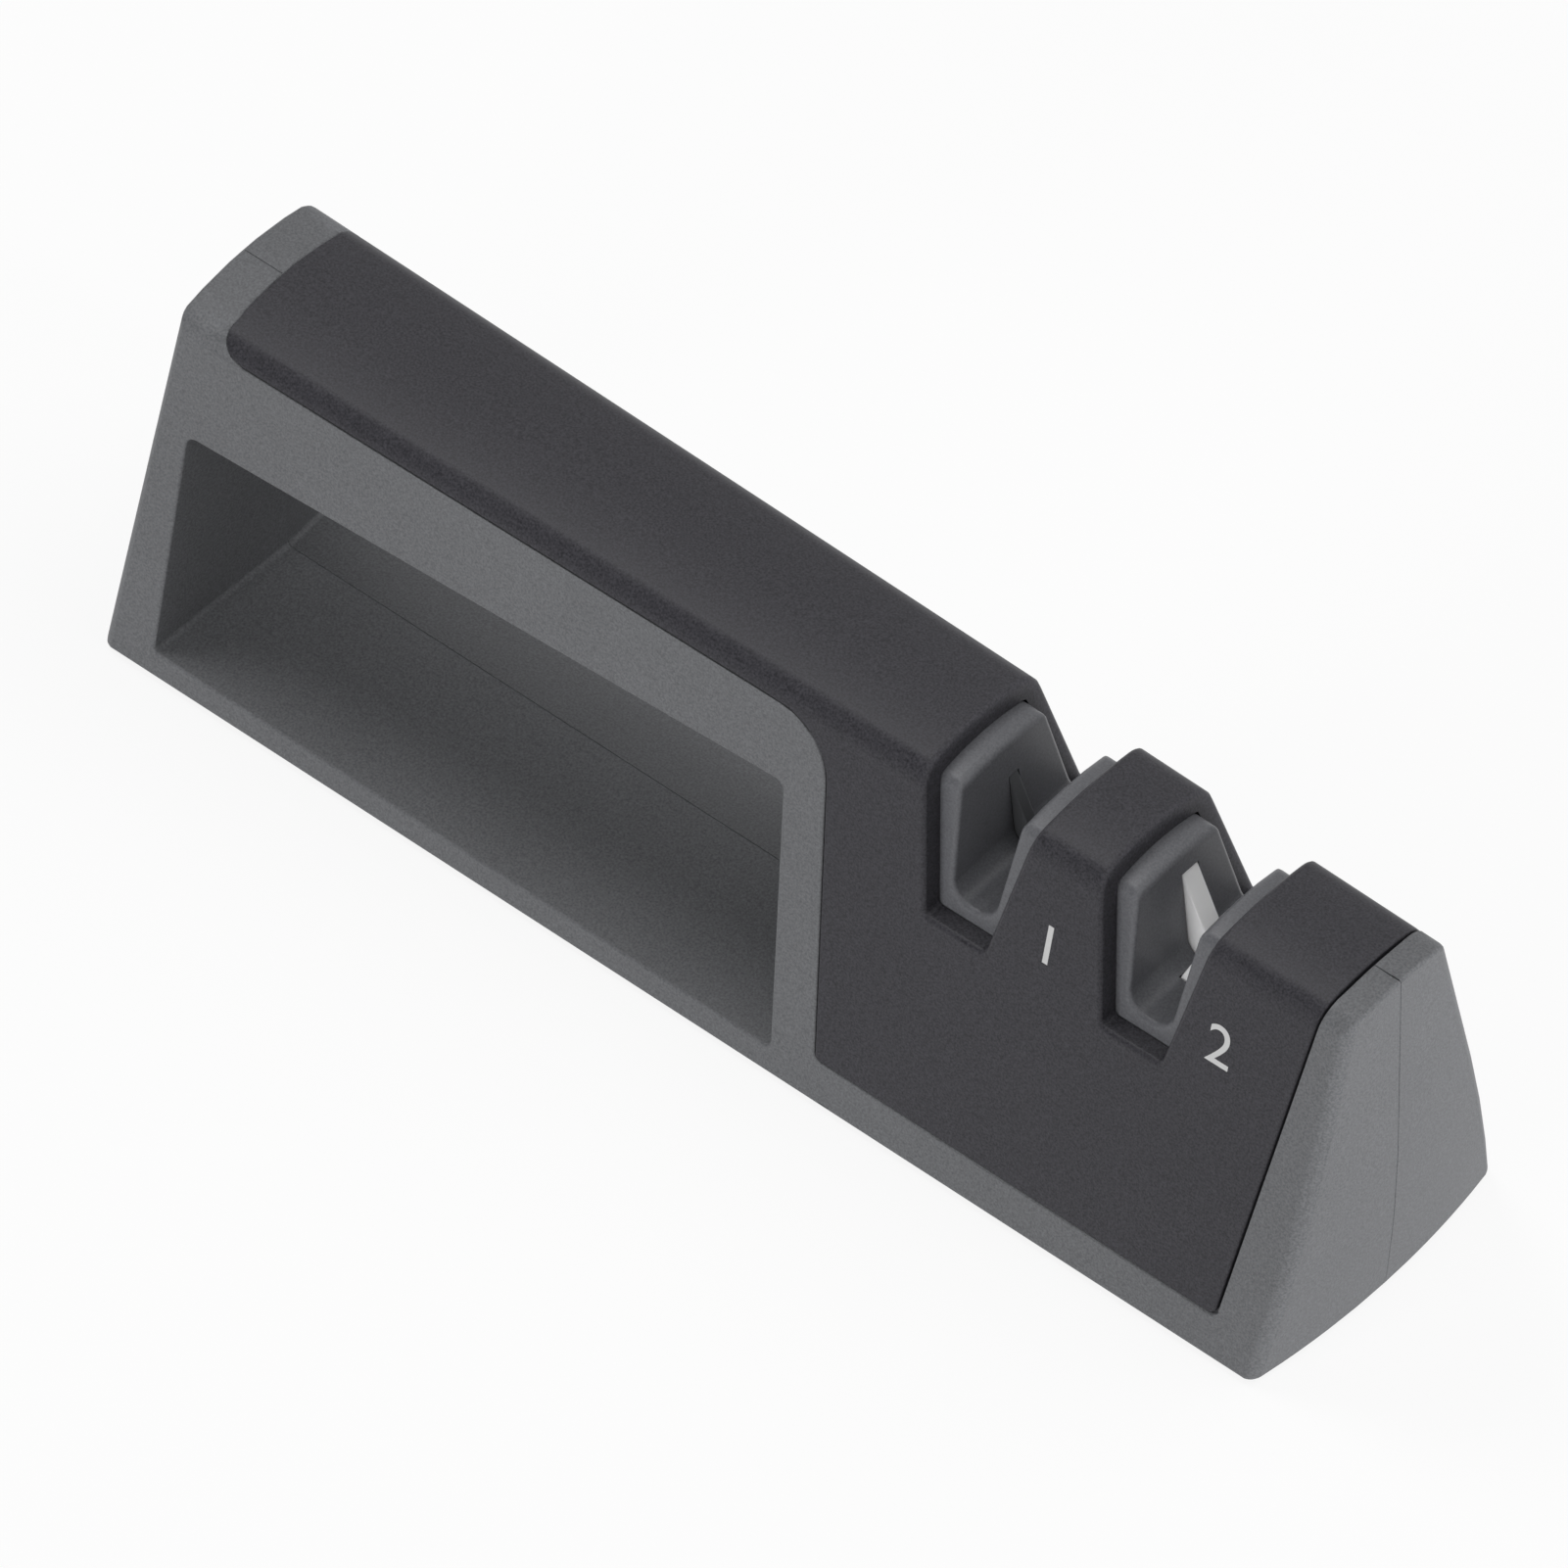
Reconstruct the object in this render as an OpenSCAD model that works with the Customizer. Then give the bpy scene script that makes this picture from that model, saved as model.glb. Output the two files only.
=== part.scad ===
// Two-stage pull-through knife sharpener with a hand opening.
// X runs along the length, the handle end at -X and the sharpening stages at +X.
// The front face looks to -Y. The part stands on its foot pad at Z = 0.

/* [Body] */
// Overall length, measured at the base
body_l = 195; // [180:1:215]
// Width at the base
base_w = 47.2; // [46:0.2:54]
// Width between the shoulder lines at the handle end
top_w_handle = 25.9; // [23:0.1:29]
// Width between the shoulder lines at the stage end
top_w_stage = 19.1; // [18.5:0.1:22]
// Height of the shoulder lines at the handle end, above the shell's bottom edge
shoulder_h_handle = 56.4; // [56:0.1:60]
// Height of the shoulder lines at the stage end, above the shell's bottom edge
shoulder_h_stage = 57.7; // [57:0.1:61]
// Rise of the crowned top above the shoulder lines
crown_h = 1.4; // [0.8:0.1:2.2]
// Radius of the shoulders
shoulder_r = 3.8; // [3.4:0.1:5]
// Plan radius of the handle end
handle_end_r = 190; // [150:1:260]
// How far the handle end leans in at shoulder height
handle_end_set_in = 5.3; // [3:0.1:6]
// Plan radius of the stage end
stage_end_r = 133; // [115:1:200]
// How far the stage end tucks in at the base
stage_tuck_depth = 1.8; // [0.8:0.1:2.2]
// Height over which the stage end tucks in
stage_tuck_h = 32; // [20:1:45]
// Wall of the two shells
shell_t = 2.2; // [1.6:0.1:2.4]

/* [Hand opening] */
// Post between the handle end and the opening, at the mid-plane
post_w = 12.4; // [11.6:0.1:15]
// Length of the body past the opening's floor, for the stages
stage_bay_l = 86.4; // [85:0.1:92]
// Height of the opening's floor at the mid-plane
opening_floor_h = 6.8; // [6.6:0.1:8]
// Height of the opening at the handle end, at the mid-plane
opening_h_handle = 30.4; // [24:0.1:32]
// Height of the opening at the stage end, at the mid-plane
opening_h_stage = 34.5; // [28:0.1:35]
// How far the opening's handle-end wall leans out at the top
opening_shift_handle = 0.6; // [0:0.1:1]
// How far the opening's stage-end wall leans in at the top
opening_shift_stage = 3.6; // [2:0.1:6]
// Draft angle of the opening's walls from the mid-plane out to each face
opening_draft = 7.1; // [5:0.1:7.6]
// Corner radius of the opening at its floor
opening_floor_r = 0.8; // [0.5:0.1:3]
// Corner radius of the opening at its roof
opening_roof_r = 1.5; // [0.5:0.1:4]
// Wall around the opening
tunnel_t = 1.6; // [1.2:0.1:1.8]

/* [Top cover] */
// Wall of the cover
cover_t = 2.8; // [2.2:0.1:3]
// Strip of shell left bare at the handle end
cover_from_handle_end = 11.9; // [10:0.1:16]
// Height of the cover's edge along the handle
cover_side_h = 54.4; // [52.6:0.1:55]
// Height of the skirt's bottom edge
skirt_h = 6.6; // [5:0.1:9]
// Distance from the opening's floor end to the skirt's front corner
skirt_from_opening = 10; // [9:0.1:11]
// Lean of the skirt's edge beside the opening
skirt_edge_angle = 8.1; // [6:0.1:9]
// Distance from the stage end to the skirt's corner, at the bottom edge
cover_from_stage_end = 11; // [10:0.1:12]
// Distance from the stage end to the cover's edge, at shoulder height
cover_top_from_stage_end = 4.7; // [4.2:0.1:7]
// Radius of the cover's corners at the handle end
cover_r_handle = 5; // [2:0.1:8]
// Radius of the sweep from the handle down to the skirt
cover_r_sweep = 8.8; // [4:0.1:12]
// Radius of the skirt's bottom corners
skirt_r = 1; // [0.5:0.1:3]
// Width of each snap tab inside the cover
snap_w = 6; // [4:0.1:8]
// Height of each snap tab
snap_h = 2.6; // [2:0.1:4]
// Reach of each snap tab into the shell
snap_reach = 1.9; // [1.2:0.1:2.4]

/* [Stages] */
// Distance from the stage end to the middle of the fine stage
fine_from_end = 31.1; // [30.4:0.1:33]
// Distance between the two stages
stage_pitch = 28.4; // [27:0.1:29]
// Width of each notch in the cover, at its floor
notch_w = 9.6; // [8.6:0.1:11]
// Height of the notch floors
notch_floor_h = 36.8; // [36:0.1:38]
// Side angle of the notches
notch_side_angle = 10.6; // [8:0.1:12]
// Radius of the notches' floor corners
notch_r = 0.8; // [0.3:0.1:2]
// Width of the knife slot in each guide, at its floor
slot_w = 6.5; // [5.6:0.1:7.4]
// Height of the knife slot's floor
slot_floor_h = 38.6; // [38:0.1:39.4]
// Side angle of the knife slot
slot_side_angle = 5.6; // [4:0.1:8]
// Radius of the knife slot's floor corners
slot_r = 2.7; // [1:0.1:2.8]
// Width of a guide block
guide_w = 23.6; // [22.8:0.1:25]
// Height of the underside of the guide blocks
guide_base_h = 33; // [31:0.1:34]
// Angle of each sharpening plate from upright
plate_angle = 24.5; // [20:0.5:27]

/* [Coarse plates] */
// Thickness of a coarse plate
coarse_t = 1.7; // [1.2:0.1:2.4]
// Height at which the coarse plates' edges cross
coarse_v_h = 39.9; // [39.4:0.1:42]

/* [Fine plates] */
// Thickness of a fine plate
fine_t = 3; // [2.4:0.1:3.6]
// Height at which the fine plates' edges cross
fine_v_h = 41.8; // [40:0.1:43]

/* [Plate blanks] */
// Width of a plate, square to its working edge
plate_w = 5; // [4.4:0.1:5.4]
// Length of a plate above the crossing
plate_up = 13.4; // [12:0.1:13.8]
// Length of a plate below the crossing
plate_down = 14; // [12:0.1:16]
// Gap between the two plates of a stage
plate_gap = 1; // [0.8:0.1:1.6]

/* [Holders] */
// Depth of a holder or clamp, front to rear
holder_d = 8; // [7:0.1:8.6]
// Height of the underside of the holders
holder_base_h = 12; // [11.8:0.1:13]
// Diameter of the clamp screws
clamp_screw_d = 2.6; // [2:0.1:3]
// Distance between the two clamp screws of a stage
clamp_screw_pitch = 15; // [13:0.1:16]
// Height of the clamp screws above the underside of the holders
clamp_screw_h = 6.4; // [5:0.1:8]
// Head diameter of the clamp screws
clamp_head_d = 4.4; // [3.6:0.1:5]
// Head height of the clamp screws
clamp_head_h = 1.8; // [1.2:0.1:2.4]
// How far the tips of the clamp screws stop inside the holder
clamp_tip_depth = 1; // [0.5:0.1:3]
// Wall and floor of the stage frame
frame_t = 2; // [1.6:0.1:2.2]
// Height of the stage frame's side walls
frame_h = 8; // [6:0.1:14]
// Length of each ledge under the stage frame
ledge_l = 8; // [5:0.1:9]

/* [Base] */
// Thickness of the base plate
base_t = 1.4; // [1:0.1:1.5]
// Thickness of the foot pad
pad_t = 1.1; // [0.9:0.1:1.6]
// How far the foot pad stands below the shells
pad_drop = 0.5; // [0.3:0.1:0.8]
// Distance from the foot pad to the base's outline, at both sides and at the stage end
pad_inset = 5; // [4:0.1:8]
// Corner radius of the foot pad
pad_r = 5; // [2:0.5:8]
// Distance between the two rows of base screws
base_screw_spacing = 24; // [23:0.1:26]

/* [Fasteners] */
// Diameter of the shell and base screws
screw_d = 2.8; // [2.2:0.1:3.2]
// Head diameter of the screws
head_d = 4.8; // [4:0.1:5.2]
// Head height of the base screws
head_h = 0.9; // [0.6:0.1:1]
// Length of the base screws below their heads
base_screw_l = 7; // [5:0.5:7.5]
// Length of the shell screws below their heads
shell_screw_l = 11; // [9:0.5:12]
// Head height of the shell screws
shell_head_h = 1.4; // [1:0.1:2]
// Distance from the mid-plane back to the seats of the shell screws' heads
shell_seat_y = 4; // [3:0.1:5]
// Diameter of the dowels between the shells
dowel_d = 3; // [2:0.1:3.4]
// Length of the dowels
dowel_l = 9; // [6:0.5:11]
// Wall of the screw and dowel bosses
boss_t = 1.6; // [1.2:0.1:1.8]

/* [Fits] */
// Gap between the cover and the shells
cover_gap = 0.15; // [0.1:0.05:0.25]
// Gap around pieces that sit in pockets
pocket_gap = 0.15; // [0.1:0.05:0.25]
// Gap between a screw or dowel and its hole, on the radius
hole_gap = 0.1; // [0.05:0.05:0.2]
// Gap between the base screws' heads and the foot pad
pad_hole_gap = 0.8; // [0.3:0.1:1.2]

/* [Hidden] */

$fn = 48;
end_fn = 240;          // facets on the long end arcs, which are true arcs when built
loft_steps = 8;        // steps along the length of the twisted side faces
arc_steps = 6;         // steps round each shoulder and each rounded corner
crown_steps = 8;       // steps across the crown
over = 1;              // how far cutters run past what they cut

handle_x = -body_l / 2;
stage_x = body_l / 2;
fine_x = stage_x - fine_from_end;
coarse_x = fine_x - stage_pitch;
opening_x0 = handle_x + post_w;
opening_x1 = stage_x - stage_bay_l;
opening_l = opening_x1 - opening_x0;
top_z = max(shoulder_h_handle, shoulder_h_stage) + crown_h;
cover_in = cover_t + cover_gap;
under_cover = cover_in + shell_t;
plate_z = pad_t - pad_drop;            // underside of the base plate
plate_top_z = plate_z + base_t;        // top of the base plate
frame_x0 = coarse_x - guide_w / 2 - pocket_gap - frame_t;
frame_x1 = fine_x + guide_w / 2 + pocket_gap + frame_t;
frame_z = holder_base_h - frame_t;
boss_r = screw_d / 2 + hole_gap + boss_t;
seat_r = head_d / 2 + hole_gap + boss_t;
dowel_boss_r = dowel_d / 2 + hole_gap + boss_t;
skirt_x = opening_x1 + skirt_from_opening;
post_x = (handle_x + opening_x0) / 2;
front_bay_x = frame_x0 - head_d / 2 - hole_gap;
rear_bay_x = (frame_x1 + stage_x - cover_from_stage_end) / 2;
snap_x = [coarse_x, fine_x];
snap_z = skirt_h + snap_h;
ledge_x = [frame_x0 + ledge_l / 2, frame_x1 - ledge_l / 2];
base_screw_x = [post_x, front_bay_x, rear_bay_x];
pad_hole_r = head_d / 2 + pad_hole_gap;
pad_w = base_w - 2 * pad_inset;
pad_x0 = post_x + pad_hole_r;
pad_x1 = stage_x - stage_tuck_depth - pad_inset - fall_back(stage_end_r - stage_tuck_depth, pad_w / 2);

// Shell screws and dowels as [x, z] points on the mid-plane
shell_screw_at = [
  [front_bay_x, guide_base_h - seat_r],
  [rear_bay_x, frame_z + seat_r],
  [rear_bay_x, guide_base_h + seat_r]
];
dowel_at = [
  [post_x, opening_floor_h + opening_h_handle / 2],
  over_opening(opening_x0 + opening_l / 6),
  over_opening(opening_x1 - opening_l / 6)
];

function lerp(a, b, t) = a + (b - a) * t;

// How far an arc of radius r through the mid-plane falls back at y
function fall_back(r, y) = r - sqrt(r * r - y * y);

// Centre of a dowel boss that stands on the roof of the hand opening at x
function over_opening(x) =
  [x, opening_floor_h + lerp(opening_h_handle, opening_h_stage, (x - opening_x0) / opening_l) + dowel_boss_r];

function along(x) = (x - handle_x) / body_l;
function shoulder_y(x) = lerp(top_w_handle, top_w_stage, along(x)) / 2;
function shoulder_z(x) = lerp(shoulder_h_handle, shoulder_h_stage, along(x));
function face_lean(x) = atan((base_w / 2 - shoulder_y(x)) / shoulder_z(x));
function crown_r(x) = (pow(shoulder_y(x), 2) + crown_h * crown_h) / (2 * crown_h);

// Half-width of the body at x and height z, taken in by d
function face_y(x, z, d = 0) =
  shoulder_y(x) + (shoulder_z(x) - z) * tan(face_lean(x)) - d / cos(face_lean(x));

function polar(c, r, a) = c + r * [cos(a), sin(a)];
function mirrored(pts) = [for (i = [len(pts) - 1 : -1 : 0]) [-pts[i].x, pts[i].y]];

// Centre of the shoulder arc of radius r, tangent to the side face and to the crown, both taken in by d
function shoulder_centre(x, d, r) =
  let (
    a = face_lean(x),
    o = [0, shoulder_z(x) + crown_h - crown_r(x)],
    p = [shoulder_y(x), shoulder_z(x)] - (d + r) * [cos(a), sin(a)],
    up = [-sin(a), cos(a)],
    w = p - o,
    t = -w * up + sqrt(pow(w * up, 2) - w * w + pow(crown_r(x) - d - r, 2))
  ) p + t * up;

// Cross-section of the body at x as [y, z] points, taken in by d, with its foot at z0
function section(x, d, z0) =
  let (
    a = face_lean(x),
    r = max(shoulder_r - d, 0.4),
    c = shoulder_centre(x, d, r),
    o = [0, shoulder_z(x) + crown_h - crown_r(x)],
    a1 = atan2(c.y - o.y, c.x - o.x),
    shoulder = [for (i = [0 : arc_steps]) polar(c, r, lerp(a, a1, i / arc_steps))],
    over_top = [for (i = [1 : crown_steps - 1]) polar(o, crown_r(x) - d, lerp(a1, 180 - a1, i / crown_steps))]
  ) concat([[face_y(x, z0, d), z0]], shoulder, over_top, mirrored(shoulder), [[-face_y(x, z0, d), z0]]);

// Solid skinned over rings of equal length
module skinned(rings) {
  n = len(rings[0]);
  m = len(rings);
  points = [for (ring = rings) each ring];
  sides = [
    for (j = [0 : m - 2]) for (i = [0 : n - 1])
      let (a = j * n + i, b = j * n + (i + 1) % n)
        each [[a, a + n, b], [b, a + n, b + n]]
  ];
  caps = [[for (i = [0 : n - 1]) i], [for (i = [n - 1 : -1 : 0]) (m - 1) * n + i]];
  polyhedron(points, concat(sides, caps), convexity = 6);
}

// The two side faces, shoulders and crown, taken in by d
module long_form(d, z0) {
  x0 = handle_x - over;
  x1 = stage_x + over;
  skinned([
    for (k = [0 : loft_steps])
      let (x = lerp(x0, x1, k / loft_steps)) [for (p = section(x, d, z0)) [x, p.x, p.y]]
  ]);
}

module stage_end(d) {
  tuck = [
    for (i = [0 : arc_steps])
      let (z = stage_tuck_h * i / arc_steps)
        [stage_end_r - d - stage_tuck_depth * pow(1 - i / arc_steps, 2), z]
  ];
  translate([stage_x - stage_end_r, 0, 0])
    rotate_extrude($fn = end_fn)
      polygon(concat([[0, -over], [tuck[0].x, -over]], tuck, [[stage_end_r - d, top_z + over], [0, top_z + over]]));
}

module handle_end(d) {
  tall = top_z + 2 * over;
  fall = handle_end_set_in / shoulder_h_handle;
  translate([handle_x + handle_end_r, 0, -over])
    cylinder(h = tall, r1 = handle_end_r - d + over * fall, r2 = handle_end_r - d - (tall - over) * fall, $fn = end_fn);
}

// The whole outer form taken in by d, cut off level at z0
module form(d = 0, z0 = 0) {
  intersection() {
    long_form(d, z0);
    stage_end(d);
    handle_end(d);
  }
}

function unit(v) = v / norm(v);
function outward(a, b) = let (u = unit(b - a)) [u.y, -u.x];

// Counter-clockwise outline grown by d, with mitred corners
function grown(pts, d) = [
  for (i = [0 : len(pts) - 1])
    let (
      n = len(pts),
      n1 = outward(pts[(i + n - 1) % n], pts[i]),
      n2 = outward(pts[i], pts[(i + 1) % n])
    ) pts[i] + d * (n1 + n2) / (1 + n1 * n2)
];

// Arc of radius r that rounds the corner p between a and b
function corner(a, p, b, r) =
  let (
    u = unit(a - p),
    w = unit(b - p),
    half = acos(u * w) / 2,
    c = p + unit(u + w) * r / sin(half),
    s = p + u * r / tan(half) - c,
    e = p + w * r / tan(half) - c,
    a0 = atan2(s.y, s.x),
    sweep = (atan2(e.y, e.x) - a0 + 540) % 360 - 180
  ) [for (i = [0 : arc_steps]) polar(c, r, a0 + sweep * i / arc_steps)];

function rounded(pts, radii) = [
  for (i = [0 : len(pts) - 1])
    let (n = len(pts))
      each (radii[i] > 0 ? corner(pts[(i + n - 1) % n], pts[i], pts[(i + 1) % n], radii[i]) : [pts[i]])
];

// Extrudes an outline drawn in X and Z through the whole width
module through(pts) {
  rotate([90, 0, 0])
    translate([0, 0, -base_w / 2 - over])
      linear_extrude(base_w + 2 * over)
        polygon(pts);
}

opening_mid = [
  [opening_x0, opening_floor_h],
  [opening_x1, opening_floor_h],
  [opening_x1 - opening_shift_stage, opening_floor_h + opening_h_stage],
  [opening_x0 - opening_shift_handle, opening_floor_h + opening_h_handle]
];

// The hand opening, narrowest at the mid-plane, grown by g
module hand_opening(g = 0, reach = base_w / 2 + over) {
  flare = reach * tan(opening_draft);
  radii = [opening_floor_r + g, opening_floor_r + g, opening_roof_r + g, opening_roof_r + g];
  mid = rounded(grown(opening_mid, g), radii);
  wide = rounded(grown(opening_mid, g + flare), radii);
  for (side = [-1, 1])
    mirror([0, side > 0 ? 1 : 0, 0])
      skinned([[for (p = mid) [p.x, 0, p.y]], [for (p = wide) [p.x, -reach, p.y]]]);
}

// Slope of the cover's edge beside the bare strip at the stage end, in mm per mm of height
stage_edge_slope = (cover_from_stage_end - cover_top_from_stage_end) / (shoulder_h_stage - skirt_h);
cover_ceiling = top_z + 4 * over;

cover_corners = [
  [skirt_x, skirt_h],
  [stage_x - cover_from_stage_end, skirt_h],
  [stage_x - cover_from_stage_end + stage_edge_slope * (cover_ceiling - skirt_h), cover_ceiling],
  [handle_x + cover_from_handle_end, cover_ceiling],
  [handle_x + cover_from_handle_end, cover_side_h],
  [skirt_x - (cover_side_h - skirt_h) * tan(skirt_edge_angle), cover_side_h]
];

// The cover's outline seen from the front, grown by g
module cover_field(g = 0) {
  radii = [skirt_r + g, skirt_r + g, 0, 0, cover_r_handle + g, cover_r_sweep - g];
  through(rounded(grown(cover_corners, g), radii));
}

module notch(x) {
  rise = cover_ceiling - notch_floor_h;
  half = notch_w / 2;
  spread = rise * tan(notch_side_angle);
  outline = [
    [x - half, notch_floor_h],
    [x + half, notch_floor_h],
    [x + half + spread, notch_floor_h + rise],
    [x - half - spread, notch_floor_h + rise]
  ];
  through(rounded(outline, [notch_r, notch_r, 0, 0]));
}

module knife_slot(x) {
  rise = cover_ceiling - slot_floor_h;
  half = slot_w / 2;
  spread = rise * tan(slot_side_angle);
  outline = [
    [x - half, slot_floor_h],
    [x + half, slot_floor_h],
    [x + half + spread, slot_floor_h + rise],
    [x - half - spread, slot_floor_h + rise]
  ];
  through(rounded(outline, [slot_r, slot_r, 0, 0]));
}

module front_half() {
  intersection() {
    children();
    translate([handle_x - over, -base_w, -over]) cube([body_l + 2 * over, base_w, top_z + 3 * over]);
  }
}

module along_y(x, y, z, r, l) {
  translate([x, y, z]) rotate([-90, 0, 0]) cylinder(r = r, h = l);
}

// Everything of the two shells except their holes, both halves at once
module shell_walls() {
  difference() {
    form();
    form(shell_t, -over);
    cover_field(cover_gap);
  }
  intersection() {
    difference() {
      form();
      form(under_cover, -over);
    }
    difference() {
      cover_field(cover_gap + shell_t);
      cover_field(cover_gap);
    }
  }
  intersection() {
    difference() {
      form(cover_in);
      form(under_cover, -over);
    }
    cover_field(cover_gap + shell_t / 2);
  }
  intersection() {
    form();
    difference() {
      hand_opening(tunnel_t);
      cover_field(cover_gap);
    }
  }
}

// Bosses, webs and ledges inside the shells
module shell_insides() {
  // dowel bosses, each of the two over the opening with a web up to the top
  for (p = dowel_at)
    along_y(p.x, -base_w / 2, p.y, dowel_boss_r, base_w);
  for (p = [dowel_at[1], dowel_at[2]])
    translate([p.x - boss_t / 2, -base_w / 2, p.y])
      cube([boss_t, base_w, top_z - p.y]);
  // shell screw bosses
  for (p = shell_screw_at)
    along_y(p.x, -base_w / 2, p.y, seat_r, base_w);
  // base screw bosses with webs out to the side walls
  for (x = base_screw_x) for (s = [-1, 1]) {
    translate([x, s * base_screw_spacing / 2, plate_top_z]) cylinder(r = boss_r, h = base_screw_l);
    translate([x - boss_t / 2, s > 0 ? base_screw_spacing / 2 : -base_w / 2, plate_top_z])
      cube([boss_t, (base_w - base_screw_spacing) / 2, base_screw_l]);
  }
  // ledges that carry the stage frame
  for (x = ledge_x) for (s = [-1, 1])
    translate([x - ledge_l / 2, s > 0 ? holder_d - frame_t : -base_w / 2, frame_z - shell_t])
      cube([ledge_l, base_w / 2 - holder_d + frame_t, shell_t]);
}

// The space that the bosses, webs and ledges reach through, up to the middle of the walls
module within_walls() {
  difference() {
    form(shell_t / 2);
    difference() {
      cover_field(cover_gap);
      form(cover_in + shell_t / 2);
    }
  }
}

module shells() {
  difference() {
    union() {
      shell_walls();
      intersection() {
        within_walls();
        shell_insides();
      }
    }
    // the opening itself
    hand_opening();
    // room for the guides, the stage frame and the base plate
    for (x = [coarse_x, fine_x])
      guide_room(x);
    translate([frame_x0 - pocket_gap, -holder_d - frame_t - 2 * pocket_gap, frame_z])
      cube([frame_x1 - frame_x0 + 2 * pocket_gap, 2 * (holder_d + frame_t + 2 * pocket_gap), guide_base_h - frame_z]);
    intersection() {
      form(shell_t, -over);
      translate([handle_x, -base_w / 2, -over]) cube([body_l, base_w, over + plate_top_z]);
    }
    // holes for dowels, shell screws, base screws and snap tabs
    for (p = dowel_at)
      along_y(p.x, -dowel_l / 2 - hole_gap, p.y, dowel_d / 2 + hole_gap, dowel_l + 2 * hole_gap);
    for (p = shell_screw_at) {
      along_y(p.x, shell_seat_y - shell_screw_l - hole_gap, p.y, screw_d / 2 + hole_gap, shell_screw_l + over);
      along_y(p.x, shell_seat_y, p.y, head_d / 2 + hole_gap, base_w);
    }
    at_base_screws()
      cylinder(r = screw_d / 2 + hole_gap, h = plate_z + base_screw_l + hole_gap);
    for (x = snap_x)
      translate([x - snap_w / 2 - pocket_gap, -base_w / 2, snap_z - pocket_gap])
        cube([snap_w + 2 * pocket_gap, base_w, snap_h + 2 * pocket_gap]);
  }
}

module at_base_screws() {
  for (x = base_screw_x) for (s = [-1, 1])
    translate([x, s * base_screw_spacing / 2, 0]) children();
}

module guide_room(x) {
  w = guide_w + 2 * pocket_gap;
  translate([x - w / 2, -base_w / 2, guide_base_h])
    cube([w, base_w, top_z]);
}

module front_shell() {
  color([0.41, 0.42, 0.43])
    front_half() shells();
}

module rear_shell() {
  color([0.41, 0.42, 0.43])
    difference() {
      shells();
      translate([handle_x - over, -base_w, -over]) cube([body_l + 2 * over, base_w, top_z + 3 * over]);
    }
}

module top_cover() {
  color([0.22, 0.22, 0.23])
    difference() {
      union() {
        intersection() {
          cover_field();
          difference() {
            form();
            form(cover_t, -over);
          }
        }
        // snap tabs, square blocks that reach through windows in the shells
        for (x = snap_x)
          intersection() {
            translate([x - snap_w / 2, -base_w / 2, snap_z]) cube([snap_w, base_w, snap_h]);
            difference() {
              form(cover_t / 2);
              form(cover_in + snap_reach, -over);
            }
          }
      }
      notch(coarse_x);
      notch(fine_x);
    }
}

module base_plate() {
  color([0.2, 0.2, 0.21])
    difference() {
      intersection() {
        form(shell_t + pocket_gap);
        translate([handle_x, -base_w / 2, plate_z]) cube([body_l, base_w, base_t]);
      }
      at_base_screws()
        cylinder(r = screw_d / 2 + hole_gap, h = plate_top_z + over);
    }
}

// The pad clears the two screws in the post and has holes for the other four
module foot_pad() {
  outline = [[pad_x0, -pad_w / 2], [pad_x1, -pad_w / 2], [pad_x1, pad_w / 2], [pad_x0, pad_w / 2]];
  color([0.1, 0.1, 0.1])
    translate([0, 0, -pad_drop])
      difference() {
        linear_extrude(pad_t) polygon(rounded(outline, [pad_r, pad_r, pad_r, pad_r]));
        for (x = [front_bay_x, rear_bay_x]) for (s = [-1, 1])
          translate([x, s * base_screw_spacing / 2, -over]) cylinder(r = pad_hole_r, h = pad_t + 2 * over);
      }
}

// Tray that both stages stand in, carried on the shells' ledges
module stage_frame() {
  deep = holder_d + pocket_gap;
  color([0.3, 0.3, 0.31])
    difference() {
      translate([frame_x0, -deep - frame_t, frame_z])
        cube([frame_x1 - frame_x0, 2 * (deep + frame_t), frame_t + frame_h]);
      for (x = [coarse_x, fine_x])
        translate([x - guide_w / 2 - pocket_gap, -deep, holder_base_h])
          cube([guide_w + 2 * pocket_gap, 2 * deep, frame_h + over]);
      for (x = [coarse_x, fine_x]) for (s = [-1, 1])
        along_y(x + s * clamp_screw_pitch / 2, -base_w / 2, holder_base_h + clamp_screw_h,
                clamp_head_d / 2 + hole_gap, base_w);
    }
}

// A sharpening plate as a flat blank grown by g. Its working edge leans by the plate
// angle, away from the slot at the top. side is -1 for the front plate, +1 for the rear.
module blank(x, v_h, t, side, g = 0) {
  y0 = side > 0 ? plate_gap / 2 : -plate_gap / 2 - t;
  translate([x, y0 - g, v_h])
    mirror([side < 0 ? 1 : 0, 0, 0])
      rotate([0, -plate_angle, 0])
        translate([-plate_w - g, 0, -plate_down - g])
          cube([plate_w + g, t + 2 * g, plate_down + plate_up + 2 * g]);
}

// Saddle under each notch, with the knife slot and pockets for both plates
module guide(x, v_h, t) {
  difference() {
    intersection() {
      form(cover_in + pocket_gap);
      translate([x - guide_w / 2, -base_w / 2, guide_base_h]) cube([guide_w, base_w, top_z]);
    }
    knife_slot(x);
    for (side = [-1, 1])
      blank(x, v_h, t, side, pocket_gap);
  }
}

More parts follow.
